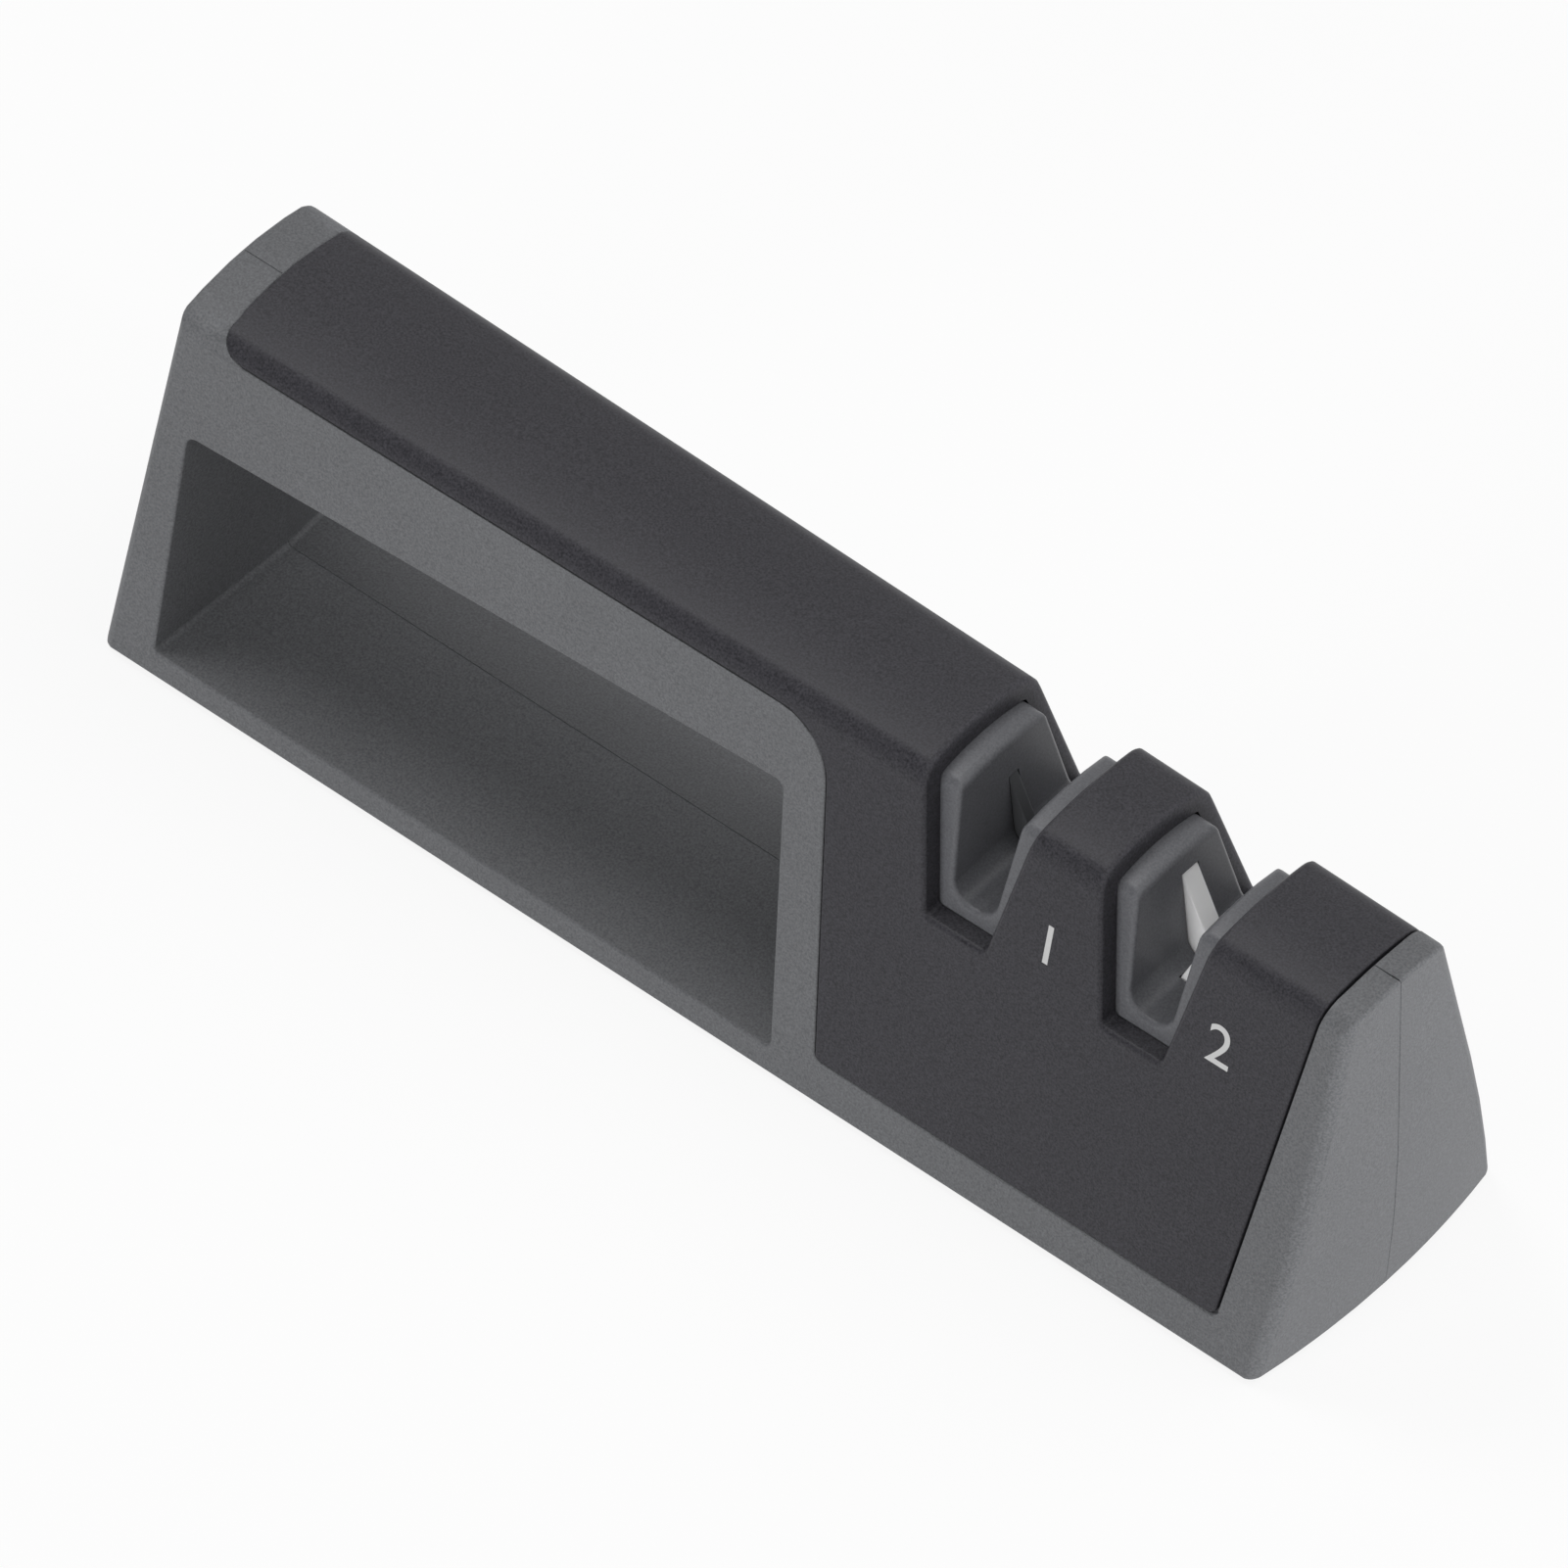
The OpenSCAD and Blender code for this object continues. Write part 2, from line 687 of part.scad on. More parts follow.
// Lower block of a stage on one side of the mid-plane, with a pocket for its plate
module stage_block(x, v_h, t, side) {
  difference() {
    translate([x - guide_w / 2, side > 0 ? 0 : -holder_d, holder_base_h])
      cube([guide_w, holder_d, guide_base_h - holder_base_h]);
    blank(x, v_h, t, side, pocket_gap);
    for (s = [-1, 1])
      along_y(x + s * clamp_screw_pitch / 2, -base_w / 2, holder_base_h + clamp_screw_h,
              clamp_screw_d / 2 + hole_gap, base_w);
    // the clamp's outer face is sunk for the screw heads
    if (side < 0)
      for (s = [-1, 1])
        along_y(x + s * clamp_screw_pitch / 2, -holder_d - over, holder_base_h + clamp_screw_h,
                clamp_head_d / 2 + hole_gap, over + clamp_head_h);
  }
}

// Cross-recess screw pointing to +Z, its head below z = 0
module screw(d, l, hd, hh) {
  slot = d / 4;
  difference() {
    union() {
      cylinder(d = d, h = l);
      translate([0, 0, -hh]) cylinder(d = hd, h = hh);
    }
    for (a = [0, 90])
      rotate([0, 0, a])
        translate([-hd / 3, -slot / 2, -hh - over]) cube([hd / 1.5, slot, over + hh / 2]);
  }
}

module clamp_screws(x) {
  for (s = [-1, 1])
    translate([x + s * clamp_screw_pitch / 2, -holder_d + clamp_head_h, holder_base_h + clamp_screw_h])
      rotate([-90, 0, 0])
        screw(clamp_screw_d, 2 * holder_d - clamp_head_h - clamp_tip_depth, clamp_head_d, clamp_head_h);
}

module coarse_guide() { color([0.36, 0.37, 0.38]) guide(coarse_x, coarse_v_h, coarse_t); }
module fine_guide() { color([0.36, 0.37, 0.38]) guide(fine_x, fine_v_h, fine_t); }
module coarse_holder() { color([0.3, 0.3, 0.31]) stage_block(coarse_x, coarse_v_h, coarse_t, 1); }
module coarse_clamp() { color([0.3, 0.3, 0.31]) stage_block(coarse_x, coarse_v_h, coarse_t, -1); }
module fine_holder() { color([0.3, 0.3, 0.31]) stage_block(fine_x, fine_v_h, fine_t, 1); }
module fine_clamp() { color([0.3, 0.3, 0.31]) stage_block(fine_x, fine_v_h, fine_t, -1); }
module coarse_plate_front() { color([0.25, 0.26, 0.28]) blank(coarse_x, coarse_v_h, coarse_t, -1); }
module coarse_plate_rear() { color([0.25, 0.26, 0.28]) blank(coarse_x, coarse_v_h, coarse_t, 1); }
module fine_plate_front() { color([0.9, 0.9, 0.9]) blank(fine_x, fine_v_h, fine_t, -1); }
module fine_plate_rear() { color([0.9, 0.9, 0.9]) blank(fine_x, fine_v_h, fine_t, 1); }
module coarse_clamp_screws() { color([0.7, 0.7, 0.72]) clamp_screws(coarse_x); }
module fine_clamp_screws() { color([0.7, 0.7, 0.72]) clamp_screws(fine_x); }

module shell_dowels() {
  color([0.7, 0.7, 0.72])
    for (p = dowel_at)
      along_y(p.x, -dowel_l / 2, p.y, dowel_d / 2, dowel_l);
}

module shell_screws() {
  color([0.7, 0.7, 0.72])
    for (p = shell_screw_at)
      translate([p.x, shell_seat_y, p.y])
        rotate([90, 0, 0])
          screw(screw_d, shell_screw_l, head_d, shell_head_h);
}

module base_screws() {
  color([0.7, 0.7, 0.72])
    at_base_screws()
      translate([0, 0, plate_z])
        screw(screw_d, base_screw_l, head_d, head_h);
}

module lifted() {
  translate([0, 0, pad_drop]) children();
}

lifted() front_shell();
lifted() rear_shell();
lifted() top_cover();
lifted() base_plate();
lifted() foot_pad();
lifted() stage_frame();
lifted() coarse_guide();
lifted() coarse_holder();
lifted() coarse_clamp();
lifted() coarse_plate_front();
lifted() coarse_plate_rear();
lifted() coarse_clamp_screws();
lifted() fine_guide();
lifted() fine_holder();
lifted() fine_clamp();
lifted() fine_plate_front();
lifted() fine_plate_rear();
lifted() fine_clamp_screws();
lifted() shell_dowels();
lifted() shell_screws();
lifted() base_screws();
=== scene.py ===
"""Two-stage pull-through knife sharpener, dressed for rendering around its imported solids.

X runs along the length with the handle end at -X, the front face looks to -Y, and the
sharpener stands on Z = 0. Sizes in the classes are millimetres; meshes are in metres.
"""

import logging
import math
from contextlib import contextmanager
from dataclasses import dataclass
from enum import Enum
from typing import Callable, Iterator

import bmesh
import bpy
from mathutils import Matrix, Vector


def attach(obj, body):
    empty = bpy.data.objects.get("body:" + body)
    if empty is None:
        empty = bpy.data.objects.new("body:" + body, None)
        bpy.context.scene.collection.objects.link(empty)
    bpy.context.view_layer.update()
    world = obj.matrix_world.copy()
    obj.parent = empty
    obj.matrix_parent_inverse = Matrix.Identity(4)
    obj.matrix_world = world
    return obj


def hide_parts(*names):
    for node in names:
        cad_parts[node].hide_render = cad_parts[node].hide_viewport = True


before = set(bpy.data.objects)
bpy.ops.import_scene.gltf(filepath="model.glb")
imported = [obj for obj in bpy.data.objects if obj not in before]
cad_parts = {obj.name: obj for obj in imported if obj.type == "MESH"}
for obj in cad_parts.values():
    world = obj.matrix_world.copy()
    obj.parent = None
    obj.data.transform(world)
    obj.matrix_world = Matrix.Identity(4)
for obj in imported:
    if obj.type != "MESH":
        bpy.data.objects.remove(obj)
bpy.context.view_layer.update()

MM = 0.001
BODY = "root"

# Degrees: where the surface turns by less, the edge belongs to a curved face and isn't rounded.
EDGE_TURN = 40.0
# Millimetres: how closely two places have to agree to be the same one.
FLUSH = 0.01
TOUCH = 0.1
SLACK = 0.3
# Share of a block's half side past which a point belongs to its outermost row.
OUTERMOST = 0.99

log = logging.getLogger("sharpener")


class Surface(Enum):
    """The faces of the sharpener's outer form."""

    LONG = "sides, shoulders and crown"
    HANDLE_END = "handle end"
    STAGE_END = "stage end"
    BASE = "base"


class Half(Enum):
    """The front and the rear. The value is the side of the mid-plane that it lies on."""

    FRONT = -1
    REAR = 1

    @property
    def word(self) -> str:
        """The half's name as the nodes spell it."""
        return self.name.lower()


class Grit(Enum):
    """The two sharpening stages, by the name that their nodes start with."""

    COARSE = "coarse"
    FINE = "fine"


class Axis(Enum):
    """The axes, by their index in a coordinate."""

    X = 0
    Y = 1
    Z = 2


class Solids(Enum):
    """What becomes of two solids, by the name that the modifier gives it."""

    JOIN = "UNION"
    CUT = "DIFFERENCE"
    CROSS = "INTERSECT"


# Where the middle of each stage lies along the body, in mm.
STAGE_X = {Grit.COARSE: 38.0, Grit.FINE: 66.4}


def make_active(piece: bpy.types.Object) -> None:
    """Leaves object mode's selection on one piece alone.

    Args:
        piece: the object to select and make active.
    """
    if bpy.context.mode != "OBJECT":
        bpy.ops.object.mode_set(mode="OBJECT")
    bpy.ops.object.select_all(action="DESELECT")
    piece.select_set(True)
    bpy.context.view_layer.objects.active = piece


@contextmanager
def editing(piece: bpy.types.Object) -> Iterator[None]:
    """Opens a piece in edit mode with all of it selected, and closes it after the block.

    Args:
        piece: the object to edit.

    Yields:
        Nothing: the block's operators act on the piece.
    """
    make_active(piece)
    bpy.ops.object.mode_set(mode="EDIT")
    bpy.ops.mesh.select_all(action="SELECT")
    yield
    bpy.ops.object.mode_set(mode="OBJECT")


def swell(piece: bpy.types.Object, by: float, even: bool = False) -> None:
    """Moves the whole surface of a piece outwards.

    Args:
        piece: the solid.
        by: how far, in mm.
        even: whether corners move so far that the faces keep the distance.
    """
    with editing(piece):
        bpy.ops.transform.shrink_fatten(value=by * MM, use_even_offset=even)


def apply_modifier(piece: bpy.types.Object, kind: str, **settings: object) -> None:
    """Adds a modifier to a piece and applies it at once.

    Args:
        piece: the object that gets it.
        kind: Blender's name for the modifier type.
        **settings: the modifier's own values.
    """
    modifier = piece.modifiers.new(kind.title(), kind)
    for key, value in settings.items():
        setattr(modifier, key, value)
    make_active(piece)
    bpy.ops.object.modifier_apply(modifier=modifier.name)


def smooth(piece: bpy.types.Object, angle: float = 32.0) -> None:
    """Shades a piece smooth, with flat faces kept flat beside their rounded edges.

    Args:
        piece: the object to shade.
        angle: edges sharper than this many degrees stay sharp.
    """
    make_active(piece)
    bpy.ops.object.shade_smooth_by_angle(angle=math.radians(angle))
    apply_modifier(piece, "WEIGHTED_NORMAL", keep_sharp=True, weight=80)


def solid_copy(node: str, name: str, within: bpy.types.Object | None = None) -> bpy.types.Object:
    """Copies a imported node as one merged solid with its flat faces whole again.

    Args:
        node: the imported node.
        name: the new piece's name.
        within: a solid that the copy is cut to, if any.

    Returns:
        The new object, with its place in its mesh.
    """
    piece = bpy.data.objects.new(name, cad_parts[node].data.copy())
    bpy.context.scene.collection.objects.link(piece)
    piece.data.materials.clear()
    with editing(piece):
        bpy.ops.mesh.remove_doubles(threshold=0.002 * MM)
    if within:
        combine(piece, Solids.CROSS, within, keep=True)
    tidy_faces(piece, flat=1.3)
    return piece


def round_edges(
    piece: bpy.types.Object,
    radius_at: Callable[[Vector, Vector, float], float],
    segments: int = 4,
    largest: float = 2.5,
) -> None:
    """Rounds each edge of a piece by its own radius.

    Args:
        piece: the object to round.
        radius_at: gives an edge's radius in mm from its two ends, in mm, and its angle in degrees.
        segments: steps round each edge.
        largest: the largest radius that radius_at gives.
    """
    mesh = bmesh.new()
    mesh.from_mesh(piece.data)
    weight = mesh.edges.layers.float.get("bevel_weight_edge")
    weight = weight or mesh.edges.layers.float.new("bevel_weight_edge")
    for edge in mesh.edges:
        angle = math.degrees(edge.calc_face_angle(0.0))
        ends = [v.co / MM for v in edge.verts]
        edge[weight] = radius_at(ends[0], ends[1], angle) / largest
    mesh.to_mesh(piece.data)
    mesh.free()
    apply_modifier(
        piece,
        "BEVEL",
        limit_method="WEIGHT",
        width=largest * MM,
        segments=segments,
        use_clamp_overlap=False,
        miter_outer="MITER_ARC",
    )


def cut_grid(piece: bpy.types.Object, axis: Axis, places: list[float]) -> None:
    """Cuts a piece by planes square to one axis, for more rows of vertices to shape.

    Args:
        piece: the object to cut.
        axis: the axis that the planes are square to.
        places: where the planes cross the axis, in the mesh's own units.
    """
    normal = [0.0, 0.0, 0.0]
    normal[axis.value] = 1.0
    with editing(piece):
        for place in places:
            bpy.ops.mesh.select_all(action="SELECT")
            bpy.ops.mesh.bisect(plane_co=[place * n for n in normal], plane_no=normal)


def combine(
    piece: bpy.types.Object, result: Solids, other: bpy.types.Object, keep: bool = False
) -> None:
    """Joins, cuts or crosses one solid with another.

    Args:
        piece: the solid that takes the new shape.
        result: what becomes of the two.
        other: the second solid.
        keep: whether the second solid is needed again.
    """
    apply_modifier(piece, "BOOLEAN", operation=result.value, object=other, solver="MANIFOLD")
    if not keep:
        bpy.data.objects.remove(other)


def tidy_faces(piece: bpy.types.Object, flat: float) -> None:
    """Merges what a cut leaves too close together and makes flat faces whole again.

    Args:
        piece: the cut solid.
        flat: largest angle in degrees between faces that become one.
    """
    near = 0.025 * MM
    with editing(piece):
        bpy.ops.mesh.remove_doubles(threshold=near)
        bpy.ops.mesh.dissolve_degenerate(threshold=near)
        bpy.ops.mesh.select_all(action="SELECT")
        bpy.ops.mesh.dissolve_limited(angle_limit=math.radians(flat))


def add_block(name: str) -> bpy.types.Object:
    """Adds a block of two units each way, centred on the origin, to be shaped.

    Args:
        name: the new object's name.

    Returns:
        The block.
    """
    bpy.ops.object.select_all(action="DESELECT")
    bpy.ops.mesh.primitive_cube_add(size=2.0, location=(0, 0, 0))
    block = bpy.context.object
    block.name = name
    return block


def settle(piece: bpy.types.Object, slot: str, finish: bpy.types.Material, *nodes: str) -> None:
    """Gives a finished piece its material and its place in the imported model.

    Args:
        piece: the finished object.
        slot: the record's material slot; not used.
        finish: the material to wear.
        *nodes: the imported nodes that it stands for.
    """
    piece.data.materials.clear()
    piece.data.materials.append(finish)
    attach(piece, BODY)
    if nodes:
        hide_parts(*nodes)
    log.info("%s: %d faces", piece.name, len(piece.data.polygons))


def dress_node(node: str, finish: bpy.types.Material) -> None:
    """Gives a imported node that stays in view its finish.

    Args:
        node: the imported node.
        finish: the material to wear.
    """
    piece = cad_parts[node]
    piece.data.materials.clear()
    piece.data.materials.append(finish)
    log.info("%s: dressed as packed", node)


@dataclass(frozen=True)
class Finish:
    """A surface finish, made of nodes that read the piece's own object coordinates.

    Its tooth is a fine noise that dents the surface by tooth_depth, in mm, and moves the
    roughness between smoother below and rougher above its middle value.
    """

    name: str
    colour: tuple[float, float, float]
    roughness: float = 0.5
    specular: float = 0.25
    tooth_depth: float = 0.004
    smoother: float = 0.05
    rougher: float = 0.07

    def material(self) -> bpy.types.Material:
        """Builds the material.

        Returns:
            The finished material.
        """
        material = bpy.data.materials.new(self.name)
        material.use_nodes = True
        tree = material.node_tree
        shader = tree.nodes["Principled BSDF"]
        shader.inputs["Base Color"].default_value = (*self.colour, 1)
        shader.inputs["Specular IOR Level"].default_value = self.specular
        coords = tree.nodes.new("ShaderNodeTexCoord")
        self.texture(tree, shader, coords.outputs["Object"])
        return material

    def texture(
        self, tree: bpy.types.NodeTree, shader: bpy.types.Node, place: bpy.types.NodeSocket
    ) -> None:
        """Gives the shader this finish's own texture.

        Args:
            tree: the material's tree.
            shader: its shader.
            place: the object coordinates.
        """
        raise NotImplementedError

    def noise(
        self, tree: bpy.types.NodeTree, place: bpy.types.NodeSocket, scale: float, detail: float
    ) -> bpy.types.NodeSocket:
        """Adds a noise texture.

        Args:
            tree: the material's tree.
            place: the coordinates that it reads.
            scale: noise cells to one unit of them.
            detail: octaves of the noise.

        Returns:
            The noise's value.
        """
        node = tree.nodes.new("ShaderNodeTexNoise")
        node.inputs["Scale"].default_value = scale
        node.inputs["Detail"].default_value = detail
        tree.links.new(place, node.inputs["Vector"])
        return node.outputs["Fac"]

    def spread(
        self, tree: bpy.types.NodeTree, noise: bpy.types.NodeSocket, low: float, high: float
    ) -> bpy.types.NodeSocket:
        """Maps the middle of a noise, where most of its values lie, to a range.

        Args:
            tree: the material's tree.
            noise: the noise's value.
            low: the value where the noise is 0.3.
            high: the value where the noise is 0.7.

        Returns:
            The mapped value.
        """
        node = tree.nodes.new("ShaderNodeMapRange")
        ends = {"From Min": 0.3, "From Max": 0.7, "To Min": low, "To Max": high}
        for name, value in ends.items():
            node.inputs[name].default_value = value
        tree.links.new(noise, node.inputs["Value"])
        return node.outputs["Result"]

    def add_tooth(
        self, tree: bpy.types.NodeTree, shader: bpy.types.Node, noise: bpy.types.NodeSocket
    ) -> None:
        """Lets a fine noise dent the surface and vary its roughness.

        Args:
            tree: the material's tree.
            shader: its shader.
            noise: the noise's value.
        """
        low, high = self.roughness - self.smoother, self.roughness + self.rougher
        tree.links.new(self.spread(tree, noise, low, high), shader.inputs["Roughness"])
        bump = tree.nodes.new("ShaderNodeBump")
        bump.inputs["Distance"].default_value = self.tooth_depth * MM
        bump.inputs["Strength"].default_value = 1.0
        tree.links.new(noise, bump.inputs["Height"])
        tree.links.new(bump.outputs["Normal"], shader.inputs["Normal"])


@dataclass(frozen=True)
class MouldedPlastic(Finish):
    """Spark-textured moulded plastic: a fine grain, faint mottling and a soft sheen.

    The grain is one cell's width in mm, the mottling has mottle_scale cells to the metre, and
    fleck and mottle are the shares by which they lighten and darken the colour.
    """

    tooth_depth: float = 0.016
    grain: float = 0.30
    fleck: float = 0.06
    mottle: float = 0.03
    mottle_scale: float = 45.0

    def texture(
        self, tree: bpy.types.NodeTree, shader: bpy.types.Node, place: bpy.types.NodeSocket
    ) -> None:
        """Mottles and flecks the colour and adds the grain.

        Args:
            tree: the material's tree.
            shader: its shader.
            place: the object coordinates.
        """
        cloud = self.noise(tree, place, self.mottle_scale, detail=4.0)
        grain = self.noise(tree, place, 1 / (self.grain * MM), detail=3.0)
        share = tree.nodes.new("ShaderNodeMath")
        share.operation = "MULTIPLY"
        broad = self.spread(tree, cloud, 1 - self.mottle, 1 + self.mottle)
        fine = self.spread(tree, grain, 1 - self.fleck, 1 + self.fleck)
        tree.links.new(broad, share.inputs[0])
        tree.links.new(fine, share.inputs[1])
        tone = tree.nodes.new("ShaderNodeVectorMath")
        tone.operation = "SCALE"
        tone.inputs[0].default_value = self.colour
        tree.links.new(share.outputs[0], tone.inputs["Scale"])
        tree.links.new(tone.outputs[0], shader.inputs["Base Color"])
        self.add_tooth(tree, shader, grain)


@dataclass(frozen=True)
class SinteredCeramic(Finish):
    """White sintered ceramic: chalky, faintly translucent, with a very fine tooth.

    Light reaches glow_depth mm into it, and glow_through is the share that does.
    """

    smoother: float = 0.06
    rougher: float = 0.06
    glow_through: float = 0.7
    glow_depth: float = 2.0
    tooth_scale: float = 5200.0

    def texture(
        self, tree: bpy.types.NodeTree, shader: bpy.types.Node, place: bpy.types.NodeSocket
    ) -> None:
        """Lets light into the surface and adds the tooth.

        Args:
            tree: the material's tree.
            shader: its shader.
            place: the object coordinates.
        """
        shader.inputs["Subsurface Weight"].default_value = self.glow_through
        shader.inputs["Subsurface Radius"].default_value = (1.0, 1.0, 1.0)
        shader.inputs["Subsurface Scale"].default_value = self.glow_depth * MM
        self.add_tooth(tree, shader, self.noise(tree, place, self.tooth_scale, detail=2.0))


@dataclass(frozen=True)
class GroundMetal(Finish):
    """Ground or plated metal, or sintered carbide, with fine lines along X.

    The lines are noise with line_scale cells to the metre along each axis.
    """

    smoother: float = 0.08
    rougher: float = 0.1
    metallic: float = 1.0
    line_scale: tuple[float, float, float] = (200.0, 6000.0, 6000.0)

    def texture(
        self, tree: bpy.types.NodeTree, shader: bpy.types.Node, place: bpy.types.NodeSocket
    ) -> None:
        """Draws the lines.

        Args:
            tree: the material's tree.
            shader: its shader.
            place: the object coordinates.
        """
        shader.inputs["Metallic"].default_value = self.metallic
        stretch = tree.nodes.new("ShaderNodeMapping")
        stretch.inputs["Scale"].default_value = self.line_scale
        tree.links.new(place, stretch.inputs["Vector"])
        lines = self.noise(tree, stretch.outputs["Vector"], scale=1.0, detail=3.0)
        self.add_tooth(tree, shader, lines)


BODY_GREY = MouldedPlastic("body_plastic", (0.143, 0.146, 0.153), 0.52, fleck=0.26)
COVER_BLACK = MouldedPlastic("cover_plastic", (0.043, 0.042, 0.048), 0.42, 0.18, fleck=0.42)
GUIDE_GREY = MouldedPlastic(
    "guide_plastic", (0.127, 0.129, 0.139), 0.38, 0.3, tooth_depth=0.006, fleck=0.18
)
INNER_GREY = MouldedPlastic("inner_plastic", (0.05, 0.05, 0.055))
BASE_BLACK = MouldedPlastic("base_plastic", (0.03, 0.03, 0.032))
PAD_RUBBER = MouldedPlastic("pad_rubber", (0.02, 0.02, 0.02), 0.75, tooth_depth=0.03, grain=0.5)
MARK_WHITE = MouldedPlastic("mark_print", (0.62, 0.62, 0.62), 0.6, tooth_depth=0.004, fleck=0.02)
FINE_WHITE = SinteredCeramic("fine_ceramic", (0.97, 0.97, 0.97), 0.5, 0.6)
COARSE_DARK = GroundMetal("coarse_carbide", (0.082, 0.084, 0.089), 0.6, metallic=0.3)
SCREW_STEEL = GroundMetal("screw_steel", (0.55, 0.55, 0.56), 0.3)


@dataclass(frozen=True)
class OuterForm:
    """The twisted outer form of the body, in mm.

    Its heights count from foot_z, where the shells end, and z from the floor.
    """

    length: float = 195.0
    base_w: float = 47.2
    top_w_handle: float = 25.9
    top_w_stage: float = 19.1
    shoulder_h_handle: float = 56.4
    shoulder_h_stage: float = 57.7
    crown_h: float = 1.4
    shoulder_r: float = 3.8
    least_shoulder_r: float = 0.4
    brow_below: float = 3.2
    brow_above: float = 1.2
    brow_tries: int = 12
    handle_end_r: float = 190.0
    handle_end_set_in: float = 5.3
    stage_end_r: float = 133.0
    stage_tuck_depth: float = 1.8
    stage_tuck_h: float = 32.0
    foot_z: float = 0.5
    reach: float = 0.12

    def shoulder(self, x: float) -> tuple[float, float]:
        """The line where a side face would meet the top, before it is rounded.

        Args:
            x: place along the body.

        Returns:
            The line's half-width and height.
        """
        t = (x + self.length / 2) / self.length
        half = (self.top_w_handle + (self.top_w_stage - self.top_w_handle) * t) / 2
        height = self.shoulder_h_handle + (self.shoulder_h_stage - self.shoulder_h_handle) * t
        return half, self.foot_z + height

    def lean(self, x: float) -> float:
        """Lean of the side faces at x, in radians from upright."""
        half, top = self.shoulder(x)
        return math.atan((self.base_w / 2 - half) / (top - self.foot_z))

    def face_y(self, x: float, z: float, inside: float = 0.0) -> float:
        """Where a side face lies across the body.

        Args:
            x: place along the body.
            z: height above the floor.
            inside: how far the face is taken in, square to itself.

        Returns:
            The half-width there.
        """
        half, top = self.shoulder(x)
        lean = self.lean(x)
        return half + (top - z) * math.tan(lean) - inside / math.cos(lean)

    def crown(self, x: float) -> tuple[float, float]:
        """The arc of the crowned top.

        Args:
            x: place along the body.

        Returns:
            Its radius and the height of its centre.
        """
        half, top = self.shoulder(x)
        radius = (half**2 + self.crown_h**2) / (2 * self.crown_h)
        return radius, top + self.crown_h - radius

    def crown_z(self, x: float, y: float, inside: float = 0.0) -> float:
        """Height of the crowned top at x and y, taken in by some mm."""
        radius, centre = self.crown(x)
        return centre + math.sqrt((radius - inside) ** 2 - y * y)

    def brow(self, x: float, inside: float = 0.0) -> tuple[float, float]:
        """Where the side faces would meet the crown.

        Args:
            x: place along the body.
            inside: how far both surfaces are taken in.

        Returns:
            The half-width and the height.
        """
        z = self.shoulder(x)[1] - inside
        for _ in range(self.brow_tries):
            z = self.crown_z(x, self.face_y(x, z, inside), inside)
        return self.face_y(x, z, inside), z

    def shoulder_arc(self, x: float, inside: float = 0.0) -> tuple[Vector, float, float, float]:
        """The arc that rounds the shoulder at x.

        Args:
            x: place along the body.
            inside: how far the surface is taken in.

        Returns:
            The centre in Y and Z, the radius, and the angles at the side face and at the crown.
        """
        lean = self.lean(x)
        crown_r, crown_centre = self.crown(x)
        half, top = self.shoulder(x)
        radius = max(self.shoulder_r - inside, self.least_shoulder_r)
        off = inside + radius
        low = Vector((half - off * math.cos(lean), top - off * math.sin(lean) - crown_centre))
        up = Vector((-math.sin(lean), math.cos(lean)))
        t = -low.dot(up) + math.sqrt(low.dot(up) ** 2 - low.dot(low) + (crown_r - off) ** 2)
        centre = low + t * up
        last = math.atan2(centre.y, centre.x)
        return centre + Vector((0, crown_centre)), radius, lean, last

    def brow_turn(self, x: float) -> float:
        """Angle that the surface turns over the shoulder at x, in radians."""
        radius, _ = self.crown(x)
        return math.pi / 2 - self.lean(x) - math.asin(self.shoulder(x)[0] / radius)

    def end_x(self, surface: Surface, y: float, z: float) -> float:
        """Where an end's surface lies along X.

        Args:
            surface: which end.
            y: place across the body.
            z: height above the floor.

        Returns:
            The end's x.
        """
        h = z - self.foot_z
        if surface is Surface.HANDLE_END:
            r = self.handle_end_r - h * self.handle_end_set_in / self.shoulder_h_handle
            return -self.length / 2 + self.handle_end_r - math.sqrt(r * r - y * y)
        tuck = max(0.0, 1 - h / self.stage_tuck_h)
        r = self.stage_end_r - self.stage_tuck_depth * tuck * tuck
        return self.length / 2 - self.stage_end_r + math.sqrt(r * r - y * y)

    def depth(self, p: Vector) -> float:
        """How far a point lies inside the sides, shoulders and crown.

        Args:
            p: the point.

        Returns:
            The distance in mm, or less than 0 outside them.
        """
        centre, radius, first, last = self.shoulder_arc(p.x)
        arm = Vector((abs(p.y), p.z)) - centre
        turn = math.atan2(arm.y, arm.x)
        if turn <= first:
            return (self.face_y(p.x, p.z) - abs(p.y)) * math.cos(self.lean(p.x))
        if turn < last:
            return radius - arm.length
        crown_r, crown_centre = self.crown(p.x)
        return crown_r - math.hypot(p.y, p.z - crown_centre)

    def in_brow(self, p: Vector) -> bool:
        """Whether a point lies on a rounded shoulder or close beside it.

        Args:
            p: the point.

        Returns:
            True where it does.
        """
        half, top = self.shoulder(p.x)
        beside = abs(p.y) > half - self.brow_below
        return beside and top - self.brow_below < p.z < top + self.brow_above

    def surfaces(self, p: Vector) -> set[Surface]:
        """The outer surfaces that a point lies on.

        Args:
            p: the point, in mm.

        Returns:
            Every surface within reach of it.
        """
        found = set()
        if abs(p.z - self.foot_z) < self.reach:
            found.add(Surface.BASE)
        if abs(self.depth(p)) < self.reach:
            found.add(Surface.LONG)
        for end in (Surface.HANDLE_END, Surface.STAGE_END):
            if abs(p.x - self.end_x(end, p.y, p.z)) < self.reach:
                found.add(end)
        return found


FORM = OuterForm()


